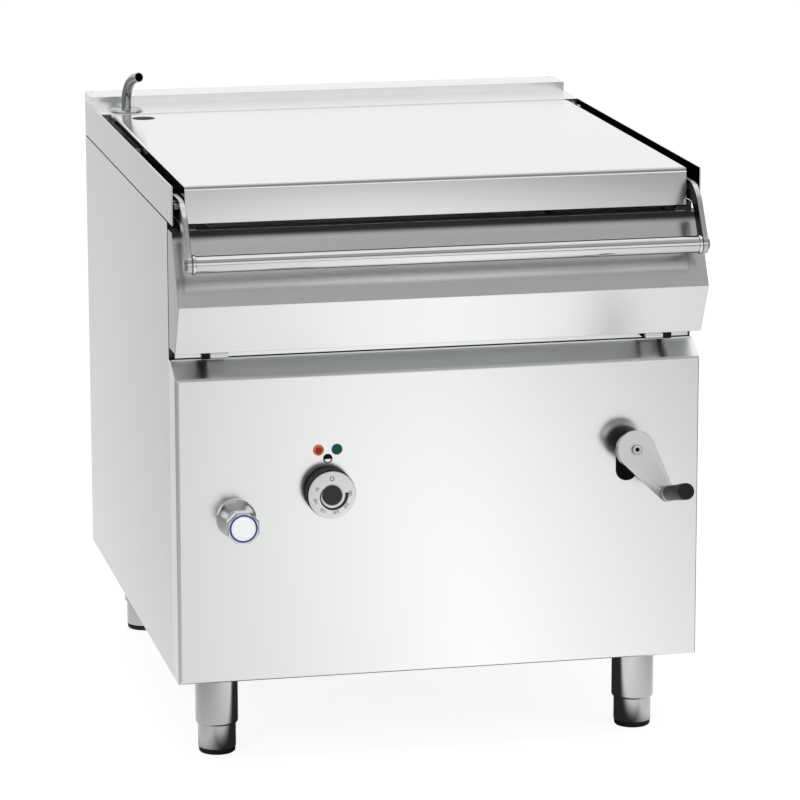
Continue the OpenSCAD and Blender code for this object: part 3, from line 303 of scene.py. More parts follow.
# Every CAD node's finish; those that a dressed piece stands for keep theirs as well
nodeFinish = {
    "panelSteel": ["front_panel", "front_rail", "rear_worktop", "base_panel", "back_panel", "panel_screws"],
    "sideSteel": ["side_panel_left", "side_panel_right", "side_rail_left", "side_rail_right"],
    "lidSteel": ["lid_outer"],
    "casingSteel": ["pan_casing", "lid_liner", "filler_collar"],
    "browSteelPaintedTopShade": ["nose_casing"],
    "wellSteel": ["pan_well", "heater_cover", "lid_lugs"],
    "tubeSteel": ["legs", "foot_front_left", "foot_front_right", "foot_rear_left", "foot_rear_right"],
    "spoutSteel": ["spout", "spout_rosette"],
    "barChrome": ["handle_bar", "hinge_blocks"],
    "boltSteelAndPaintedShade": ["lid_bolts", "crank_bolt"],
    "armSteel": ["handle_arms"],
    "hingeSteel": ["lid_hinge_arms"],
    "armBlack": ["tilt_arms"],
    "frameSteel": ["hinge_pins", "drive_bracket", "pan_base"],
    "driveSteel": ["worm_shaft", "tilt_quadrant", "crank_shaft", "dial_shaft"],
    "crankSteel": ["crank_arm"],
    "brightChrome": ["valve_rosette", "valve_knob"],
    "dialSilver": ["dial_face"],
    "plainBrass": ["valve_body", "water_inlet", "water_pipe", "supply_pipe"],
    "hotElement": ["heating_elements"],
    "paintedIron": ["gearbox"],
    "gripBlack": ["crank_grip"],
    "mattBlack": ["dial_skirt", "index_disc", "cable_gland"],
    "shieldBlack": ["crank_shield"],
    "boxGrey": ["terminal_box", "thermostat_body"],
    "capWhite": ["valve_cap"],
    "lensOrange": ["lamp_orange"],
    "lensGreen": ["lamp_green"],
    "bufferRubber": ["lid_buffers"],
}
finishOf = {node: finish for finish, members in nodeFinish.items() for node in members}
bodyOf = {node: body for body, members in frame["record"]["behaviour"]["bodies"].items() for node in members}

for name, node in nodes.items():
    node.data.materials.clear()
    node.data.materials.append(finishes[finishOf[name]])
print("nodes painted")


# Piece helpers

def newPiece(name, mesh):
    piece = bpy.data.objects.new(name, mesh)
    bpy.context.scene.collection.objects.link(piece)
    return piece


def smoothShade(mesh, angle=32):
    for face in mesh.polygons:
        face.use_smooth = True
    mesh.set_sharp_from_angle(angle=math.radians(angle))


def meshPiece(name, shape, angle=32):
    # a piece from a finished bmesh, smooth up to an angle, or flat for the angle None
    bmesh.ops.recalc_face_normals(shape, faces=shape.faces)
    mesh = bpy.data.meshes.new(name)
    shape.to_mesh(mesh)
    shape.free()
    if angle is not None:
        smoothShade(mesh, angle)
    return newPiece(name, mesh)


def plainMesh(piece):
    # turns a piece with modifiers into a plain mesh
    depsgraph = bpy.context.evaluated_depsgraph_get()
    mesh = bpy.data.meshes.new_from_object(piece.evaluated_get(depsgraph), depsgraph=depsgraph)
    piece.modifiers.clear()
    old = piece.data
    piece.data = mesh
    bpy.data.meshes.remove(old)
    return piece


def dress(piece, finish, node, stands=True):
    # gives a piece its finish and its body; most pieces stand for their CAD node
    piece.data.materials.clear()
    piece.data.materials.append(finishes[finish])
    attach(piece, bodyOf[node])
    if stands:
        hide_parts(node)
    return piece


def paintFaces(piece, finish, chosen):
    # gives the faces that chosen(centre, normal) picks a finish of their own
    piece.data.materials.append(finishes[finish])
    last = len(piece.data.materials) - 1
    for face in piece.data.polygons:
        if chosen(face.center, face.normal):
            face.material_index = last


def boxOf(node):
    # low corner, high corner and middle of a CAD node
    low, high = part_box(node)
    return low, high, [(a + b) / 2 for a, b in zip(low, high)]


def camelName(node):
    first, *others = node.split("_")
    return first + "".join(word.capitalize() for word in others)


def inMm(points):
    return [(radius * mm, height * mm) for radius, height in points]


def offLine(point, place, axis):
    # a point's distance from a line
    away = point - place
    return (away - axis * away.dot(axis)).length


def bridge(shape, lower, upper):
    # faces between two closed rows of as many corners
    for i in range(len(lower)):
        j = (i + 1) % len(lower)
        shape.faces.new([lower[i], lower[j], upper[j], upper[i]])


def closeRings(shape, rings):
    # faces along a row of rings, and on its two ends
    for lower, upper in zip(rings, rings[1:]):
        bridge(shape, lower, upper)
    shape.faces.new(rings[0])
    shape.faces.new(rings[-1])


def turnsOf(steps):
    # even turns round a circle
    return [2 * math.pi * i / steps for i in range(steps)]


def faceFront(piece, place):
    # stands a piece that was drawn flat up to face the front, at its place
    piece.data.transform(Matrix.Translation(place) @ Matrix.Rotation(math.pi / 2, 4, "X"))


def arcPoints(centre, radius, start, end, steps):
    # points on an arc in a plane, with both its ends
    turns = [start + (end - start) * i / steps for i in range(steps + 1)]
    return [Vector(centre) + radius * Vector((math.cos(a), math.sin(a))) for a in turns]


def roundedCorner(radius, height, r, steps=5, up=True):
    # a turned form's rounded edge, from its side to its upper or lower end face
    points = []
    for i in range(steps + 1):
        a = math.pi / 2 * i / steps
        rise = -r + r * math.sin(a) if up else r - r * math.sin(a)
        points.append((radius - r + r * math.cos(a), height + rise))
    return points


def latheRings(shape, profile, base, axis, steps):
    # rings of a turned form, and its faces; profile holds (radius, height along the axis)
    axis = Vector(axis).normalized()
    side = axis.orthogonal().normalized()
    up = axis.cross(side)
    turns = turnsOf(steps)
    rings = []
    for radius, height in profile:
        centre = Vector(base) + axis * height
        if radius < 1e-7:
            rings.append([shape.verts.new(centre)])
            continue
        around = [radius * (math.cos(a) * side + math.sin(a) * up) for a in turns]
        rings.append([shape.verts.new(centre + reach) for reach in around])
    for lower, upper in zip(rings, rings[1:]):
        for i in range(steps):
            j = (i + 1) % steps
            near = [lower[i % len(lower)], lower[j % len(lower)]]
            corners = near + [upper[j % len(upper)], upper[i % len(upper)]]
            unique = [v for k, v in enumerate(corners) if v not in corners[:k]]
            if len(unique) > 2:
                shape.faces.new(unique)
    return rings


def turned(name, profile, base, axis, steps=72, closed=False, angle=32):
    # a lathe form; a closed profile joins its last ring to its first
    shape = bmesh.new()
    rings = latheRings(shape, profile, base, axis, steps)
    if closed:
        bridge(shape, rings[-1], rings[0])
    return meshPiece(name, shape, angle)


# CAD nodes with softer edges; angles in degrees

soften = {"doubles": 0.004 * mm, "flat": 0.6, "sharp": 28, "smooth": 40, "segments": 2, "boldSegments": 4}


def roundEdges(piece, width, segments, sharp, method="ANGLE"):
    bevel = piece.modifiers.new("round", "BEVEL")
    bevel.width = width
    bevel.segments = segments
    bevel.angle_limit = math.radians(sharp)
    bevel.limit_method = method
    return bevel


def softenNode(name, width, bold=None, boldWidth=0):
    # a copy of a CAD node with its doubles merged and its edges rounded, some of them more boldly
    mesh = nodes[name].data.copy()
    mesh.name = name + "Soft"
    sharp = soften["sharp"]
    shape = bmesh.new()
    shape.from_mesh(mesh)
    bmesh.ops.remove_doubles(shape, verts=shape.verts, dist=soften["doubles"])
    flat = math.radians(soften["flat"])
    bmesh.ops.dissolve_limit(shape, angle_limit=flat, verts=shape.verts, edges=shape.edges)
    if bold:
        weight = shape.edges.layers.float.new("bevel_weight_edge")
        for edge in shape.edges:
            if len(edge.link_faces) == 2 and edge.calc_face_angle() > math.radians(sharp):
                edge[weight] = 1 if bold(edge) else width / boldWidth
    shape.to_mesh(mesh)
    shape.free()
    mesh.validate()
    piece = newPiece(camelName(name), mesh)
    if bold:
        bevel = roundEdges(piece, boldWidth, soften["boldSegments"], sharp, "WEIGHT")
    else:
        bevel = roundEdges(piece, width, soften["segments"], sharp)
    bevel.harden_normals = True
    bevel.use_clamp_overlap = not bold
    smoothShade(mesh, soften["smooth"])
    return dress(plainMesh(piece), finishOf[name], name)


# width of the rounding in mm, and the nodes that have it
softEdges = {
    0.4: ["spout_rosette"],
    0.5: ["pan_casing"],
    0.6: ["side_panel_left", "side_panel_right", "front_rail", "lid_outer", "lid_lugs", "crank_arm",
          "drive_bracket"],
    0.7: ["side_rail_left", "side_rail_right", "rear_worktop"],
    0.8: ["pan_well", "lid_hinge_arms", "hinge_blocks", "tilt_arms"],
    1: ["pan_base"],
    1.2: ["nose_casing"],
    1.5: ["lid_buffers"],
    2: ["thermostat_body"],
    3: ["gearbox", "terminal_box"],
}
soft = {node: softenNode(node, width * mm) for width, members in softEdges.items() for node in members}
print("sheet edges rounded:", len(soft))


# Front panel, with its folded upright edges rounder than its cut ones

panel = {"cut": 0.4 * mm, "fold": 5 * mm, "near": 0.01 * mm, "rightFold": (0.3, 0.97),
         "leftFold": (-0.97, -0.8)}


def dressPanel():
    low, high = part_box("front_panel")

    def uprightFold(edge):
        ends = [vert.co for vert in edge.verts]
        return all(high[0] - abs(p.x) < panel["near"] and p.y < low[1] + panel["near"] for p in ends)

    def shadedFold(centre, normal):
        # painted shade: a dark finish on the part of either fold that turns away from the light in front
        sideways = any(start < normal.x < end for start, end in (panel["rightFold"], panel["leftFold"]))
        return sideways and normal.y < -0.15 and centre.y < low[1] + panel["fold"]

    piece = softenNode("front_panel", panel["cut"], bold=uprightFold, boldWidth=panel["fold"])
    paintFaces(piece, "foldPaintedShade", shadedFold)
    paintFaces(piece, "bevelSteel", lambda centre, normal: normal.z > 0.2 and normal.y < -0.2)


# Painted shade: near-black steel on the insides of the side gaps and the casing's corner angles, which see little
# light, with a darker lid fold and nose ends

gap = {"seam": 14 * mm, "angleOut": 0.5 * mm, "angleTop": 1 * mm}


def shadeGaps():
    # painted shade: near-black steel on the rails' inner faces, the side panels' front edges and top seams, the
    # well's front edge and the corner angles
    for name, side in (("side_rail_left", 1), ("side_rail_right", -1)):
        paintFaces(soft[name], "paintedShadeSteel", lambda centre, normal: normal.x * side > 0.7)
    for name in ("side_panel_left", "side_panel_right"):
        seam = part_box(name)[1][2] - gap["seam"]
        paintFaces(soft[name], "paintedShadeSteel", lambda centre, normal: normal.y < -0.7 or centre.z > seam)
    corner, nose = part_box("pan_casing")[1], soft["nose_casing"]
    out, top = corner[0], corner[2]
    # painted shade: a darker line on the lid's rounded front fold
    paintFaces(soft["lid_outer"], "lidFold", lambda centre, normal: normal.y < -0.4 and normal.z > 0.2)
    paintFaces(soft["pan_well"], "paintedShadeSteel", lambda centre, normal: normal.y < -0.5 and centre.z > top)
    paintFaces(nose, "noseSteel", lambda centre, normal: normal.y < -0.3 and normal.z < -0.1)
    # painted shade: a darker steel on the nose casing's ends
    paintFaces(nose, "noseEndPaintedShade", lambda centre, normal: abs(normal.x) > 0.9)
    paintFaces(nose, "paintedShadeSteel", lambda centre, normal: (
        abs(centre.x) > out + gap["angleOut"] and centre.z > top - gap["angleTop"]))


# Front rail's lower edge, brought down to the narrow slot over the panel's sloping edge

rail = {"down": 1.5 * mm, "edge": 1.2 * mm}


def lowerRail():
    mesh = soft["front_rail"].data
    low = min(vert.co.z for vert in mesh.vertices)
    for vert in mesh.vertices:
        if vert.co.z < low + rail["edge"]:
            vert.co.z -= rail["down"]


dressPanel()
shadeGaps()
lowerRail()
print("front panel and gaps dressed")


# Handle bar with its end collars, and its two flat arms; the bar's end is a profile in mm

handle = {
    "end": [(0, 0), (11.5, 0), (11.5, 0.7), (13.8, 0.7), (14.3, 1.3), (14.3, 4.4), (13.8, 5.3), (12.5, 5.7)],
    "armWide": 26 * mm,
    "bend": 57,
    "bendRadius": 50 * mm,
    "eye": 14 * mm,
    "bolt": 5 * mm,
    "boltPlaces": (8 * mm, 37 * mm),
    "edge": 1 * mm,
    "sharp": 50,
}


def dressBar():
    low, high, middle = boxOf("handle_bar")
    end, length = inMm(handle["end"]), high[0] - low[0]
    profile = end + [(radius, length - place) for radius, place in reversed(end)]
    bar = turned("handleBar", profile, (low[0], middle[1], middle[2]), (1, 0, 0), steps=96)
    dress(bar, "barChrome", "handle_bar")


def armOutline(high, bar):
    # corners of an arm's outline in depth and height, from its tail round by the bar's eye
    half, eye, radius = handle["armWide"] / 2, handle["eye"], handle["bendRadius"]
    turn = math.radians(handle["bend"])
    lean = Vector((math.cos(turn), math.sin(turn)))
    across = Vector((-lean.y, lean.x))
    tailZ = high[2] - half
    reach = (tailZ - bar.y - radius * (1 - math.cos(turn))) / math.sin(turn)
    middle = bar + lean * reach - across * radius
    neck = lean * math.sqrt(eye ** 2 - half ** 2)
    first = math.atan2(across.y * half + neck.y, across.x * half + neck.x)
    last = math.atan2(neck.y - across.y * half, neck.x - across.x * half) + math.tau
    quarter = math.pi / 2
    points = arcPoints((high[1] - half, tailZ), half, -quarter, quarter, 12)
    points += arcPoints(middle, radius + half, quarter, quarter + turn, 12)
    points += arcPoints(bar, eye, first, last, 28)
    return points + arcPoints(middle, radius - half, quarter + turn, quarter, 12)


def dressArms():
    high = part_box("handle_arms")[1]
    barHigh, barMiddle = boxOf("handle_bar")[1:]
    inner, lidSide, half = barHigh[0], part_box("lid_outer")[1][0], handle["armWide"] / 2
    points = armOutline(high, Vector(barMiddle[1:]))
    stud = [(0, 0), (handle["bolt"], 0), (handle["bolt"], inner - lidSide), (0, inner - lidSide)]
    shape = bmesh.new()
    for side in (-1, 1):
        rows = [[shape.verts.new((side * x, p.x, p.y)) for p in points] for x in (inner, high[0])]
        closeRings(shape, rows)
        for forward in handle["boltPlaces"]:
            base = (side * lidSide, high[1] - half - forward, high[2] - half)
            latheRings(shape, stud, base, (side, 0, 0), steps=24)
    piece = meshPiece("handleArms", shape, soften["smooth"])
    roundEdges(piece, handle["edge"], soften["segments"], handle["sharp"])
    dress(plainMesh(piece), "armSteel", "handle_arms")
    # painted shade: each arm's inner face gets a near-black finish
    paintFaces(piece, "armPaintedShade", lambda centre, normal: abs(normal.x) > 0.9 and normal.x * centre.x < 0)


dressBar()
dressArms()
print("handle dressed")


# Feet, each a sleeve on a black pad whose profile is in mm

foot = {
    "sleeve": 28.8 * mm,
    "round": 1.6 * mm,
    "top": 76 * mm,
    "lift": 8 * mm,
    "sunk": 0.5 * mm,
    "pad": [(0, 0), (26.1, 0), (27.6, 1.5), (28.2, 8), (0, 8)],
}


def dressFeet():
    r, lift = foot["sleeve"], foot["lift"]
    edge = roundedCorner(r, lift, foot["round"], up=False)
    sleeve = [(0, lift - foot["sunk"])] + edge[::-1] + [(r, foot["top"]), (0, foot["top"])]
    for depth in ("Front", "Rear"):
        for side in ("Left", "Right"):
            node = f"foot_{depth}_{side}".lower()
            middle = boxOf(node)[2]
            base = (middle[0], middle[1], 0)
            dress(turned("footSleeve" + depth + side, sleeve, base, (0, 0, 1)), "tubeSteel", node)
            pad = turned("footPad" + depth + side, inMm(foot["pad"]), base, (0, 0, 1))
            dress(pad, "footBlack", node, stands=False)


# Leg tubes with their lower edges turned in

leg = {"radius": 32.3 * mm, "inner": 29.1 * mm, "low": 46 * mm, "high": 133.9 * mm, "edgeWide": 2.2 * mm,
       "edgeHigh": 4 * mm}


def dressLegs():
    low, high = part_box("legs")
    r = leg["radius"]
    profile = [(leg["inner"], leg["low"])]
    for a in (math.pi / 2 * i / 6 for i in range(7)):
        rise = leg["edgeHigh"] * (1 - math.cos(a))
        profile.append((r - leg["edgeWide"] * (1 - math.sin(a)), leg["low"] + rise))
    profile += [(r, leg["high"]), (leg["inner"], leg["high"])]
    shape = bmesh.new()
    for x in (low[0] + r, high[0] - r):
        for y in (low[1] + r, high[1] - r):
            rings = latheRings(shape, profile, (x, y, 0), (0, 0, 1), steps=72)
            bridge(shape, rings[-1], rings[0])
    dress(meshPiece("legTubes", shape), "tubeSteel", "legs")


dressFeet()
dressLegs()
print("legs and feet dressed")


# Geometry Nodes helpers

def startTree(name, inputs):
    # a Geometry Nodes tree, its given inputs, and the identifiers to set them by
    tree = bpy.data.node_groups.new(name, "GeometryNodeTree")
    keys = {}
    for label, kind in inputs.items():
        socket = tree.interface.new_socket(name=label, in_out="INPUT", socket_type="NodeSocket" + kind)
        keys[label] = socket.identifier
    tree.interface.new_socket(name="Geometry", in_out="OUTPUT", socket_type="NodeSocketGeometry")
    return tree, addNode(tree, "NodeGroupInput").outputs, keys


def endTree(tree, geometry, finish):
    real = addNode(tree, "GeometryNodeRealizeInstances", {"Geometry": geometry}).outputs["Geometry"]
    paint = addNode(tree, "GeometryNodeSetMaterial", {"Geometry": real, "Material": finish})
    addNode(tree, "NodeGroupOutput", {"Geometry": paint.outputs["Geometry"]})


def growNodes(piece, tree, keys, values):
    # puts a tree on a piece with its inputs set, then makes the piece a plain mesh
    grow = piece.modifiers.new("grow", "NODES")
    grow.node_group = tree
    for label, value in values.items():
        grow[keys[label]] = value
    return plainMesh(piece)


# Thermostat dial; turns are degrees from the top

dial = {
    "ribs": 60,
    "ribHeight": 0.9 * mm,
    "skirtEdge": 1 * mm,
    "skirtRound": 2 * mm,
    "faceHigh": 2 * mm,
    "faceRound": 0.8 * mm,
    "recess": 0.5 * mm,
    "recessWide": (1.1 * mm, 1.4 * mm),
    "cap": 15 * mm,
    "capHeight": 3 * mm,
    "capRound": 1.2 * mm,
    "capDish": (0.15 * mm, 0.2 * mm),
    "numbers": ["45", "100", "150", "200", "250", "285"],
    "numberTurn": [-66, -109, -149.5, -193, -232, -273],
    "numberRadius": [24.6 * mm, 26 * mm, 26.5 * mm, 26.5 * mm, 27 * mm, 27.2 * mm],
    "numberSize": 6.6 * mm,
    "zeroRadius": 25.0 * mm,
    "zeroSize": [2.4 * mm, 3.6 * mm],
    "zeroSteps": 32,
    "arcInner": [15.4 * mm, 19.6 * mm],
    "arcClimb": 1.8,
    "arcTurn": [-52, -278],
    "arcWidth": [1.0 * mm, 5.4 * mm],
    "arcSteps": 48,
    "print": 0.12 * mm,
    "printSunk": 0.04 * mm,
    "weld": 0.005 * mm,
}


def ribTree():
    # ribs set on a circle round a skirt
    tree, given, keys = startTree("skirtRibs", {
        "Geometry": "Geometry", "Count": "Int", "Radius": "Float", "Rib Radius": "Float", "Depth": "Float",
        "Finish": "Material"})
    circle = addNode(tree, "GeometryNodeMeshCircle", {"Vertices": given["Count"], "Radius": given["Radius"]})
    rib = addNode(tree, "GeometryNodeMeshCylinder", {
        "Vertices": 8, "Radius": given["Rib Radius"], "Depth": given["Depth"]})
    place = addNode(tree, "GeometryNodeInstanceOnPoints", {
        "Points": circle.outputs["Mesh"], "Instance": rib.outputs["Mesh"]})
    join = addNode(tree, "GeometryNodeJoinGeometry", {
        "Geometry": [given["Geometry"], place.outputs["Instances"]]})
    endTree(tree, join.outputs["Geometry"], given["Finish"])
    return tree, keys


def dressSkirt():
    low, high, middle = boxOf("dial_skirt")
    half = (high[1] - low[1]) / 2
    r, edge, curve = (high[0] - low[0]) / 2 - dial["ribHeight"], dial["skirtEdge"], dial["skirtRound"]
    profile = [(0, -half), (r - edge, -half), (r, edge - half), (r, half - curve), (r - curve, half),
               (0, half)]
    skirt = turned("dialSkirt", profile, (0, 0, 0), (0, 0, 1), steps=120)
    tree, keys = ribTree()
    growNodes(skirt, tree, keys, {
        "Count": dial["ribs"], "Radius": r, "Rib Radius": dial["ribHeight"], "Depth": 2 * (half - curve),
        "Finish": finishes["mattBlack"]})
    smoothShade(skirt.data)
    faceFront(skirt, middle)
    dress(skirt, "mattBlack", "dial_skirt")
    return middle[0], middle[2]


def dressFace(x, z):
    low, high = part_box("dial_face")
    r, cap, thick, out = (high[0] - low[0]) / 2, dial["cap"], dial["faceHigh"], (0, -1, 0)
    flank = [(cap + dial["recessWide"][1], thick), (cap + dial["recessWide"][0], thick - dial["recess"])]
    face = [(0, 0), (r - dial["faceRound"] / 2, 0)] + roundedCorner(r, thick, dial["faceRound"])
    face += flank + [(0, thick - dial["recess"])]
    dress(turned("dialDisc", face, (x, high[1], z), out, steps=96), "dialSilver", "dial_face")
    front, top = high[1] - thick, dial["capHeight"]
    button = [(0, -dial["recess"]), (cap, -dial["recess"])] + roundedCorner(cap, top, dial["capRound"])
    button += [(cap / 2, top - dial["capDish"][0]), (0, top - dial["capDish"][1])]
    dress(turned("dialCap", button, (x, front, z), out, steps=96), "capGrey", "dial_face", stands=False)
    return front


def flatText(words, size):
    letters = bpy.data.curves.new("letters", "FONT")
    letters.body = words
    letters.size = size
    letters.align_x = "CENTER"
    letters.align_y = "CENTER"
    letters.extrude = dial["print"]
    carrier = newPiece("letters", letters)
    bpy.context.view_layer.update()
    depsgraph = bpy.context.evaluated_depsgraph_get()
    mesh = bpy.data.meshes.new_from_object(carrier.evaluated_get(depsgraph), depsgraph=depsgraph)
    bpy.data.objects.remove(carrier)
    bpy.data.curves.remove(letters)
    return mesh


def ringBand(shape, points):
    # a thin band between pairs of inner and outer points, closed by end faces where its ends don't meet
    rows = []
    for inner, outer in points:
        corners = [(*inner, 0), (*inner, dial["print"]), (*outer, dial["print"]), (*outer, 0)]
        rows.append([shape.verts.new(corner) for corner in corners])
    for first, second in zip(rows, rows[1:]):
        bridge(shape, first, second)
    if rows[0][0].co != rows[-1][0].co:
        shape.faces.new(rows[0])
        shape.faces.new(rows[-1])


def between(pair, share):
    return pair[0] + (pair[1] - pair[0]) * share


def printDial(x, front, z):
    shape = bmesh.new()
    for words, turn, out in zip(dial["numbers"], dial["numberTurn"], dial["numberRadius"]):
        mesh = flatText(words, dial["numberSize"])
        mesh.transform(Matrix.Rotation(math.radians(-turn), 4, "Z") @ Matrix.Translation((0, out, 0)))
        shape.from_mesh(mesh)
        bpy.data.meshes.remove(mesh)
    arc = []
    for share in (i / dial["arcSteps"] for i in range(dial["arcSteps"] + 1)):
        a = math.radians(90 - between(dial["arcTurn"], share))
        near = between(dial["arcInner"], min(1, share * dial["arcClimb"]))
        far = near + between(dial["arcWidth"], share)
        arc.append([(r * math.cos(a), r * math.sin(a)) for r in (near, far)])
    ringBand(shape, arc)
    zero = []
    for a in (2 * math.pi * i / dial["zeroSteps"] for i in range(dial["zeroSteps"] + 1)):
        zero.append([(r * math.cos(a), dial["zeroRadius"] + r * math.sin(a)) for r in dial["zeroSize"]])
    ringBand(shape, zero)
    bmesh.ops.remove_doubles(shape, verts=shape.verts, dist=dial["weld"])
    piece = meshPiece("dialPrint", shape, None)
    faceFront(piece, (x, front + dial["printSunk"], z))
    dress(piece, "printGrey", "dial_face", stands=False)


def dressDial():
    x, z = dressSkirt()
    front = dressFace(x, z)
    printDial(x, front, z)


dressDial()
print("dial dressed")


# Signal lamps with ringed lenses, the orange one with a darker heart

lamp = {"stem": 6 * mm, "stemLong": 25 * mm, "stand": 3 * mm, "side": 0.8 * mm, "flank": 1 * mm,
        "rise": 2.4 * mm, "rings": 4, "ringHeight": 0.5 * mm, "ringDepth": 0.3 * mm, "ringShare": 0.6,
        "ringEdge": 1.6 * mm, "top": 0.1 * mm, "heart": 0.55}


def dressLamps():
    rise = lamp["rise"]
    for node, finish in (("lamp_orange", "lensOrange"), ("lamp_green", "lensGreen")):
        low, high, middle = boxOf(node)
        base = (middle[0], low[1] + lamp["stand"], middle[2])
        r, stem = (high[0] - low[0]) / 2, lamp["stem"]
        profile = [(0, -lamp["stemLong"]), (stem, -lamp["stemLong"]), (stem, 0), (r, 0), (r, lamp["side"]),
                   (r - lamp["flank"], rise)]
        step = (r - lamp["ringEdge"]) / lamp["rings"]
        for i in range(lamp["rings"]):
            outer = r - lamp["ringEdge"] - step * i
            profile += [(outer, rise + lamp["ringHeight"]),
                        (outer - step * lamp["ringShare"], rise - lamp["ringDepth"])]
        profile += [(0, rise + lamp["top"])]
        piece = turned(camelName(node), profile, base, (0, -1, 0), steps=48, angle=20)
        dress(piece, finish, node)
        if finish == "lensOrange":
            line = Vector(base), Vector((0, -1, 0))
            paintFaces(piece, "lensRed", lambda centre, normal: offLine(centre, *line) < r * lamp["heart"])


# White half-round window in the index disc

index = {"window": 4.9 * mm, "thick": 0.15 * mm, "sunk": 0.05 * mm, "drop": 0.6 * mm}


def dressIndex():
    low, high, middle = boxOf("index_disc")
    window = arcPoints((0, 0), index["window"], math.pi, math.tau, 24)
    shape = bmesh.new()
    rows = [[shape.verts.new((p.x, p.y, h)) for p in window] for h in (0, index["thick"])]
    closeRings(shape, rows)
    piece = meshPiece("indexWindow", shape, None)
    faceFront(piece, (middle[0], low[1] + index["sunk"], middle[2] - index["drop"]))
    dress(piece, "printWhite", "index_disc", stands=False)


dressLamps()
dressIndex()
print("lamps dressed")


# Water knob: an octagon with a flared neck, a domed cap and a coloured ring
# Its shoulder holds (depth behind the block, inset), and so does the rosette's step

knob = {
    "flats": 8,
    "near": 1.5 * mm,
    "nearEdge": 1.8 * mm,
    "block": 15 * mm,
    "shoulder": [(2.5 * mm, 3 * mm), (2.6 * mm, 4.5 * mm)],
    "flare": 30 * mm,
    "neck": 14.5 * mm,
    "play": 0.5 * mm,
    "stem": 6 * mm,
    "cap": 18.3 * mm,
    "capEdge": 0.4 * mm,
    "dome": 2.4 * mm,
    "ring": 20.5 * mm,
    "ringPipe": 1.5 * mm,
    "ringFlat": 0.8,
    "ringSides": 14,
}


def dressOctagon():
    low, high, middle = boxOf("valve_knob")
    flat, block, neck, stem = (high[0] - low[0]) / 2, knob["block"], knob["neck"], knob["stem"]
    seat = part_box("valve_rosette")[0][1] - low[1] - knob["play"]
    (first, inset), (second, deeper) = knob["shoulder"]
    rows = [(0, flat - knob["nearEdge"], True), (knob["near"], flat, True), (block, flat, True),
            (block + first, flat - inset, True), (block + second, flat - deeper, False),
            (knob["flare"], neck, False), (seat, neck, False), (seat, stem, False),
            (high[1] - low[1], stem, False)]
    steps, facet = knob["flats"] * 6, 2 * math.pi / knob["flats"]
    shape = bmesh.new()
    rings = []
    for depth, reach, faceted in rows:
        ring = []
        for a in turnsOf(steps):
            r = reach / math.cos((a + facet / 2) % facet - facet / 2) if faceted else reach
            corner = (middle[0] + r * math.cos(a), low[1] + depth, middle[2] + r * math.sin(a))
            ring.append(shape.verts.new(corner))
        rings.append(ring)
    closeRings(shape, rings)
    dress(meshPiece("valveKnob", shape, 25), "brightChrome", "valve_knob")


def dressKnobCap():
    low, high, middle = boxOf("valve_cap")
    base, out = (middle[0], high[1], middle[2]), (0, -1, 0)
    r, edge = knob["cap"], knob["capEdge"]
    profile = [(0, 0), (r, 0), (r, edge)]
    for a in (math.pi / 2 * i / 8 for i in range(1, 9)):
        profile.append((r * math.cos(a), edge + knob["dome"] * math.sin(a)))
    dress(turned("knobCap", profile, base, out), "capWhite", "valve_cap")
    pipe = knob["ringPipe"]
    ring = knob["ring"] - pipe / 2
    profile = [(ring + pipe * math.cos(a), pipe * math.sin(a) * knob["ringFlat"])
               for a in turnsOf(knob["ringSides"])]
    dress(turned("knobRing", profile, base, out, closed=True), "ringBlue", "valve_cap", stands=False)


rosette = {
    "bore": 8 * mm,
    "rim": 2 * mm,
    "step": (2.4 * mm, 0.6 * mm),
    "waist": 20.5 * mm,
    "flat": 2 * mm,
    "curve": 1.5,
    "steps": 24,
    "top": 20 * mm,
    "round": 1.5 * mm,
}


def dressRosette():
    low, high, middle = boxOf("valve_rosette")
    outer, height, bore = (high[0] - low[0]) / 2, high[1] - low[1], rosette["bore"]
    start, inset = rosette["step"]
    profile = [(bore, 0), (outer, 0), (outer, rosette["rim"])]
    for share in (i / rosette["steps"] for i in range(rosette["steps"] + 1)):
        rise = (height - start - rosette["flat"]) * share ** rosette["curve"]
        profile.append((outer - inset - (outer - rosette["waist"]) * share, start + rise))
    profile += roundedCorner(rosette["top"], height, rosette["round"]) + [(bore, height)]
    base = (middle[0], high[1], middle[2])
    piece = turned("valveRosette", profile, base, (0, -1, 0), steps=96, closed=True)
    dress(piece, "brightChrome", "valve_rosette")


dressOctagon()
dressKnobCap()
dressRosette()
print("water knob dressed")


# Filling spout as one swept tube with an open mouth

spout = {"radius": 8 * mm, "wall": 1 * mm, "bend": 48 * mm, "turn": 80, "reach": 49 * mm, "rise": 61 * mm,
         "swing": 17, "down": 20 * mm, "bore": 8 * mm, "sides": 40, "skin": 0.01 * mm, "mouth": 1 * mm}


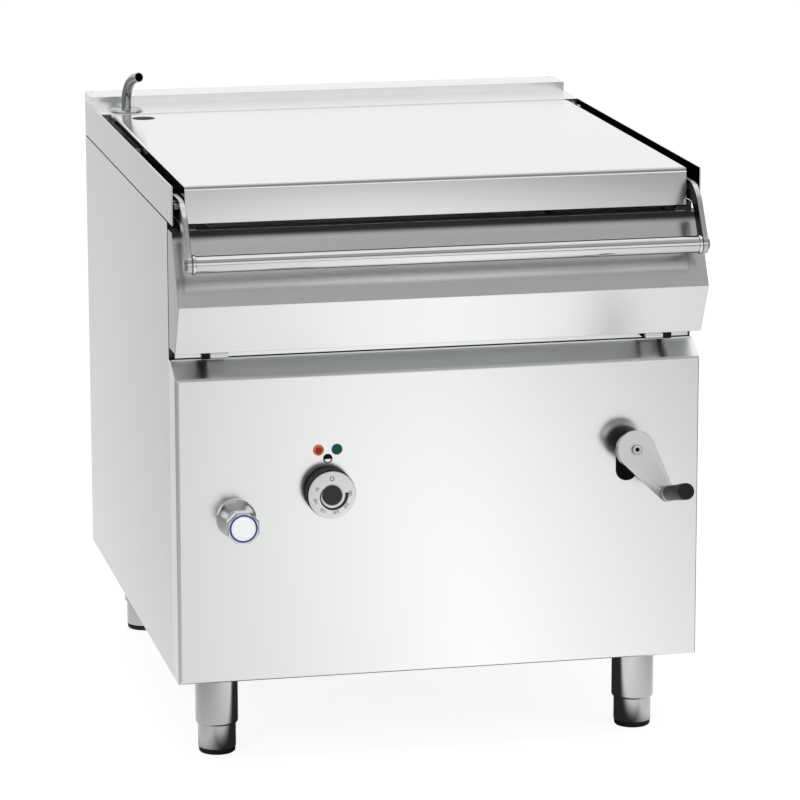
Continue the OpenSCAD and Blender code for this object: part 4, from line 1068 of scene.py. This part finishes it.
def dressSpout():
    low, high, middle = boxOf("spout_rosette")
    root = Vector((middle[0], middle[1], low[2]))
    swing = Matrix.Rotation(math.radians(spout["swing"] - 90), 3, "Z")
    turn, bend, radius = math.radians(spout["turn"]), spout["bend"], spout["radius"]
    end = spout["reach"] - bend * (1 - math.cos(turn))
    up = spout["rise"] - bend * math.sin(turn) - end * math.cos(turn)
    bore = radius - spout["wall"]
    rows = [(0, -spout["down"], 0, radius)]
    for a in (turn * i / 24 for i in range(25)):
        rows.append((bend * (1 - math.cos(a)), up + bend * math.sin(a), a, radius))
    x, z = rows[-1][0] + end * math.sin(turn), rows[-1][1] + end * math.cos(turn)
    rows += [(x, z, turn, radius), (x, z, turn, bore)]
    rows += [(x - spout["bore"] * math.sin(turn), z - spout["bore"] * math.cos(turn), turn, bore)]
    shape = bmesh.new()
    rings = []
    for across, height, lean, r in rows:
        ring = []
        for t in turnsOf(spout["sides"]):
            u, v = r * math.cos(t), r * math.sin(t)
            corner = Vector((across + u * math.cos(lean), v, height - u * math.sin(lean)))
            ring.append(shape.verts.new(root + swing @ corner))
        rings.append(ring)
    closeRings(shape, rings)
    piece = meshPiece("spoutTube", shape)
    dress(piece, "spoutSteel", "spout")
    tip = root + swing @ Vector((x, 0, z))
    way = swing @ Vector((math.sin(turn), 0, math.cos(turn)))
    # painted shade: black inside the spout's mouth
    paintFaces(piece, "borePaintedShade", lambda centre, normal: (
        (centre - tip).dot(way) < -spout["skin"] and (centre - tip).length < spout["bore"] + spout["mouth"]
        and offLine(centre, tip, way) < radius - spout["wall"] / 2))


dressSpout()
print("spout dressed")


# Crank grip, its ringed collar, the bolt, and painted shade on the sides and back of the crank plate
# The grip's shoulder and the collar's groove hold (inset, height) in mm

grip = {"pin": 4.2 * mm, "neck": 9 * mm, "neckLong": 13 * mm, "shoulder": [(1.6, 13.2), (1, 14)],
        "waist": 1 * mm, "swell": 22 * mm, "round": 3 * mm, "short": 0.2 * mm}
collar = {"bore": 5 * mm, "radius": 11.6 * mm, "start": 0.2 * mm, "first": 0.6 * mm, "rings": 3,
          "pitch": 3.4 * mm, "groove": [(0, 0), (0.9, 0.5), (0.9, 1.1), (0, 1.6)], "long": 13 * mm}
bolt = {"radius": 7.5 * mm, "edge": 1 * mm, "mouth": 4.4 * mm, "mouthEnd": 4 * mm, "socket": 3.5 * mm,
        "levels": (0.3 * mm, 3 * mm), "dark": 3.6 * mm, "darkFrom": 0.5 * mm, "sides": 48}


def jointLine(name):
    # a joint's place, and its direction out of the front panel
    joint = next(j for j in frame["joints"] if j["name"] == name)
    axis = Vector(joint["axis"]).normalized()
    return Vector(joint["pos_m"]), -axis if axis.y > 0 else axis


def spanAlong(node, place, axis):
    reach = [(vert.co - place).dot(axis) for vert in nodes[node].data.vertices]
    return min(reach), max(reach)


def dressGrip():
    place, axis = jointLine("grip_spin")
    near, far = spanAlong("crank_grip", place, axis)
    r = max(offLine(vert.co, place, axis) for vert in nodes["crank_grip"].data.vertices)
    length = far - near - grip["short"]
    profile = [(grip["pin"], 0), (grip["neck"], 0), (grip["neck"], grip["neckLong"])]
    profile += [(r - inset, height) for inset, height in inMm(grip["shoulder"])]
    profile += [(r - grip["waist"], length / 2), (r, length - grip["swell"])]
    profile += roundedCorner(r, length, grip["round"], 8) + [(0, length)]
    piece = turned("crankGrip", profile, place + axis * near, axis, steps=64)
    dress(piece, "gripBlack", "crank_grip")


def dressCollar():
    place, axis = jointLine("grip_spin")
    near = spanAlong("crank_grip", place, axis)[0]
    r, bore = collar["radius"], collar["bore"]
    profile = [(bore, collar["start"]), (r, collar["start"])]
    for i in range(collar["rings"]):
        start = collar["first"] + i * collar["pitch"]
        profile += [(r - inset, start + height) for inset, height in inMm(collar["groove"])]
    profile += [(r, collar["long"]), (bore, collar["long"])]
    piece = turned("gripCollar", profile, place + axis * near, axis, steps=48, closed=True)
    dress(piece, "collarSteelAndPaintedShade", "crank_grip", stands=False)


def dressCrankBolt():
    place, axis = jointLine("crank_turn")
    near, far = spanAlong("crank_bolt", place, axis)
    height, r, edge, steps = far - near, bolt["radius"], bolt["edge"], bolt["sides"]
    base, top = place + axis * near, place + axis * far
    profile = [(0, 0), (r, 0), (r, height - edge), (r - edge, height), (bolt["mouth"], height),
               (bolt["mouthEnd"], height - bolt["levels"][0])]
    shape = bmesh.new()
    last = latheRings(shape, profile, base, axis, steps)[-1]
    side = axis.orthogonal().normalized()
    up = axis.cross(side)
    for level in bolt["levels"]:
        ring = []
        for a in turnsOf(steps):
            flat = bolt["socket"] * math.cos(math.pi / 6) / math.cos((a % (math.pi / 3)) - math.pi / 6)
            around = flat * (math.cos(a) * side + math.sin(a) * up)
            ring.append(shape.verts.new(base + axis * (height - level) + around))
        bridge(shape, last, ring)
        last = ring
    shape.faces.new(last)
    piece = meshPiece("crankBolt", shape)
    dress(piece, "crankSteel", "crank_bolt")
    # painted shade: darker steel on the bolt's sides and edge, a dark outline round its face
    paintFaces(piece, "boltSteelAndPaintedShade", lambda centre, normal: normal.dot(axis) < 0.9)
    # painted shade: black inside the bolt's socket
    paintFaces(piece, "borePaintedShade", lambda centre, normal: (
        offLine(centre, top, axis) < bolt["dark"] and (centre - top).dot(axis) < -bolt["darkFrom"]))


def shadeCrank():
    axis = jointLine("crank_turn")[1]
    plate = soft["crank_arm"]
    # painted shade: darker steel on the crank plate's sides and lower faces
    paintFaces(plate, "collarSteelAndPaintedShade", lambda centre, normal: abs(normal.dot(axis)) < 0.6 and normal.z < 0.2)
    # painted shade: near-black steel on the crank plate's back
    paintFaces(plate, "paintedShadeSteel", lambda centre, normal: normal.dot(axis) < -0.7)


dressGrip()
dressCollar()
shadeCrank()
dressCrankBolt()
print("crank dressed")


# Screw heads of the back panel, by Geometry Nodes

screws = {
    "radius": 5 * mm,
    "rise": 2 * mm,
    "dome": [(0, 0), (1, 0), (1, 0.35), (0.9, 0.7), (0.66, 0.92), (0.3, 1), (0, 1)],
    "slot": 1.1 * mm,
    "slotLong": 1.2,
    "slotDeep": 1.1,
    "seed": 3,
}


def screwHead():
    # one domed head with a cross recess, its axis along +Z
    r, h = screws["radius"], screws["rise"]
    dome = [(r * x, h * z) for x, z in screws["dome"]]
    head = turned("screwHead", dome, (0, 0, 0), (0, 0, 1), steps=16, angle=60)
    cross = bmesh.new()
    wide, long = screws["slot"], r * screws["slotLong"]
    for x, y in ((long, wide), (wide, long)):
        size = Matrix.Diagonal((x, y, h * screws["slotDeep"], 1))
        bmesh.ops.create_cube(cross, size=1, matrix=Matrix.Translation((0, 0, h)) @ size)
    cutter = meshPiece("screwCross", cross, None)
    cutting = head.modifiers.new("cut", "BOOLEAN")
    cutting.object = cutter
    cutting.solver = "EXACT"
    cutting.use_self = True
    plainMesh(head)
    bpy.data.objects.remove(cutter)
    return head


def screwTree():
    # heads set on points, each turned at random about its own axis
    tree, given, keys = startTree("setScrews", {
        "Geometry": "Geometry", "Head": "Object", "Lean": "Vector", "Seed": "Int", "Finish": "Material"})
    info = addNode(tree, "GeometryNodeObjectInfo", {"Object": given["Head"]})
    spin = addNode(tree, "FunctionNodeRandomValue", {"Min": 0, "Max": math.tau, "Seed": given["Seed"]},
                   data_type="FLOAT")
    turn = addNode(tree, "ShaderNodeCombineXYZ", {"Z": spin.outputs[1]})
    place = addNode(tree, "GeometryNodeInstanceOnPoints", {
        "Points": given["Geometry"], "Instance": info.outputs["Geometry"], "Rotation": given["Lean"]})
    about = addNode(tree, "GeometryNodeRotateInstances", {
        "Instances": place.outputs["Instances"], "Rotation": turn.outputs["Vector"], "Local Space": True})
    endTree(tree, about.outputs["Instances"], given["Finish"])
    return tree, keys


def islandBoxes(node):
    # low and high corner of each loose solid of a CAD node
    shape = bmesh.new()
    shape.from_mesh(nodes[node].data)
    bmesh.ops.remove_doubles(shape, verts=shape.verts, dist=soften["doubles"])
    left, boxes = set(shape.verts), []
    for first in shape.verts:
        if first not in left:
            continue
        left.discard(first)
        group = [first]
        for vert in group:
            fresh = [edge.other_vert(vert) for edge in vert.link_edges if edge.other_vert(vert) in left]
            left.difference_update(fresh)
            group += fresh
        boxes.append([[pick(vert.co[k] for vert in group) for k in range(3)] for pick in (min, max)])
    shape.free()
    return boxes


def dressBackScrews():
    head = screwHead()
    tree, keys = screwTree()
    boxes = islandBoxes("panel_screws")
    points = [((low[0] + high[0]) / 2, low[1], (low[2] + high[2]) / 2) for low, high in boxes]
    mesh = bpy.data.meshes.new("backScrews")
    mesh.from_pydata(points, [], [])
    piece = growNodes(newPiece("backScrews", mesh), tree, keys, {
        "Head": head, "Lean": (-math.pi / 2, 0, 0), "Seed": screws["seed"],
        "Finish": finishes["brightChrome"]})
    dress(piece, "brightChrome", "panel_screws")
    bpy.data.objects.remove(head)


dressBackScrews()
print("screws set")


# Studio; a sky or floor tone is a list of (place, grey)

studio = {
    "floor": 40,
    "paper": (0.86, 0.86, 0.86, 1),
    "paperGlow": 1.17,
    "glowShare": 0.75,
    "skyFront": [(0.0, 0.5), (0.49, 0.4), (0.54, 0.8), (0.69, 0.75), (0.745, 0.2), (0.79, 0.2), (0.85, 0.33),
                 (0.97, 0.36), (0.99, 1.0)],
    "skyBack": [(0.0, 0.6), (0.5, 0.72), (0.75, 0.7), (0.86, 0.6), (0.89, 1.0), (0.935, 1.0), (0.955, 0.74),
                (0.985, 0.74), (1.0, 1.0)],
    "skyTurn": (-0.2, 0.2),
    "skyStrength": 1.4,
    "flag": (0.8, 0.96, 1, 0.28),
    "flagTop": (0.65, 0.9),
    # the floor's tones in reflections: painted light across and ahead, and a painted shadow under the cabinet
    "across": [(0.0, 0.3), (0.35, 0.42), (0.5, 1.0), (0.65, 0.42), (0.8, 0.16), (1.0, 0.14)],
    "acrossSpan": 3.0,
    "acrossLean": (1, 0.17, 0),
    "acrossShift": 0.04,
    "ahead": [(0.0, 0.4), (0.25, 0.95), (0.55, 1.0), (0.65, 0.97), (0.72, 0.9), (1.0, 0.85)],
    "aheadSpan": (-10, 5),
    "under": (0.31, 0.41, 0.03),
    "floorStrength": 1.28,
    "lamps": [
        ("overhead", (0.2, -0.6, 3.2), (0, 0, 0), 2.4, 34),
        ("leftFront", (-3.2, -3.0, 2.4), (0, 0, 0.5), 1.8, 45),
        ("rightFront", (3.4, -2.6, 2.0), (0, 0, 0.5), 1.6, 26),
    ],
}


def toneRamp(tree, value, stops):
    # a grey between (place, tone) stops
    ramp = addNode(tree, "ShaderNodeValToRGB", {"Fac": value})
    marks = ramp.color_ramp.elements
    for i, (place, tone) in enumerate(stops):
        mark = marks[0] if i == 0 else marks[-1] if i == len(stops) - 1 else marks.new(place)
        mark.position = place
        mark.color = (tone, tone, tone, 1)
    return ramp.outputs["Color"]


def buildWorld():
    # white to the camera; in reflections bands of grey from low to high, darker to the sides
    world = bpy.data.worlds.new("studio")
    bpy.context.scene.world = world
    world.use_nodes = True
    tree = world.node_tree
    tree.nodes.clear()
    way = addNode(tree, "ShaderNodeTexCoord").outputs["Generated"]
    parts = addNode(tree, "ShaderNodeSeparateXYZ", {"Vector": way})
    x, y, z = (parts.outputs[letter] for letter in "XYZ")
    height = numberNode(tree, "MULTIPLY_ADD", z, 0.5, 0.5)
    front, rear = (toneRamp(tree, height, studio[side]) for side in ("skyFront", "skyBack"))
    sky = mixed(tree, ranged(tree, y, *studio["skyTurn"]), front, rear)
    level = numberNode(tree, "MULTIPLY_ADD", z, numberNode(tree, "MULTIPLY", z, -1), 1)
    level = numberNode(tree, "SQRT", numberNode(tree, "MAXIMUM", level, 0.0001))
    aside = numberNode(tree, "DIVIDE", numberNode(tree, "ABSOLUTE", x), level)
    flag = mixed(tree, ranged(tree, z, *studio["flagTop"]), ranged(tree, aside, *studio["flag"]), 1, "FLOAT")
    strength = numberNode(tree, "MULTIPLY", flag, studio["skyStrength"])
    toned = mixed(tree, 1, sky, strength, blend="MULTIPLY")
    seen = addNode(tree, "ShaderNodeLightPath").outputs["Is Camera Ray"]
    back = addNode(tree, "ShaderNodeBackground", {"Color": mixed(tree, seen, toned, (1, 1, 1, 1))})
    addNode(tree, "ShaderNodeOutputWorld", {"Surface": back.outputs["Background"]})


def buildFloor():
    # paper that glows white to the camera and keeps a soft shadow; in reflections it shows painted light instead:
    # a painted pool of light ahead, darker to the sides, and a painted shadow under the cabinet
    size = studio["floor"]
    corners = [(-size, -size, 0), (size, -size, 0), (size, size, 0), (-size, size, 0)]
    mesh = bpy.data.meshes.new("floorPaper")
    mesh.from_pydata(corners, [], [(0, 1, 2, 3)])
    floor = newPiece("floorPaper", mesh)
    material = bpy.data.materials.new("floorPaper")
    material.use_nodes = True
    tree = material.node_tree
    tree.nodes.clear()
    place = addNode(tree, "ShaderNodeTexCoord").outputs["Object"]
    lean = addNode(tree, "ShaderNodeVectorMath", {0: place, 1: studio["acrossLean"]}, operation="DOT_PRODUCT")
    side = numberNode(tree, "SUBTRACT", lean.outputs["Value"], studio["acrossShift"])
    side = numberNode(tree, "MULTIPLY_ADD", side, 0.5 / studio["acrossSpan"], 0.5)
    parts = addNode(tree, "ShaderNodeSeparateXYZ", {"Vector": place})
    depth = ranged(tree, parts.outputs["Y"], *studio["aheadSpan"], kind="LINEAR")
    around = numberNode(tree, "MAXIMUM", *(numberNode(tree, "ABSOLUTE", parts.outputs[way]) for way in "XY"))
    under = ranged(tree, around, *studio["under"])
    tone = numberNode(tree, "MULTIPLY", toneRamp(tree, side, studio["across"]),
                      toneRamp(tree, depth, studio["ahead"]))
    tone = numberNode(tree, "MULTIPLY", tone, numberNode(tree, "MULTIPLY", under, studio["floorStrength"]))
    paths = addNode(tree, "ShaderNodeLightPath").outputs
    strength = mixed(tree, paths["Is Camera Ray"], tone, studio["paperGlow"], "FLOAT")
    glow = addNode(tree, "ShaderNodeEmission", {"Color": (1, 1, 1, 1), "Strength": strength})
    paper = addNode(tree, "ShaderNodeBsdfDiffuse", {"Color": studio["paper"]})
    share = numberNode(tree, "MULTIPLY_ADD", paths["Is Camera Ray"], studio["glowShare"],
                       paths["Is Glossy Ray"])
    mix = addNode(tree, "ShaderNodeMixShader", {
        "Fac": share, 1: paper.outputs["BSDF"], 2: glow.outputs["Emission"]})
    addNode(tree, "ShaderNodeOutputMaterial", {"Surface": mix.outputs["Shader"]})
    floor.data.materials.append(material)


def buildLamps():
    for name, place, target, size, power in studio["lamps"]:
        light = bpy.data.lights.new(name, "AREA")
        light.shape = "SQUARE"
        light.size = size
        light.energy = power
        stand = newPiece(name, light)
        stand.location = place
        stand.visible_glossy = False
        aim = Vector(target) - Vector(place)
        stand.rotation_euler = aim.to_track_quat("-Z", "Y").to_euler()


buildWorld()
buildFloor()
buildLamps()
print("studio built")
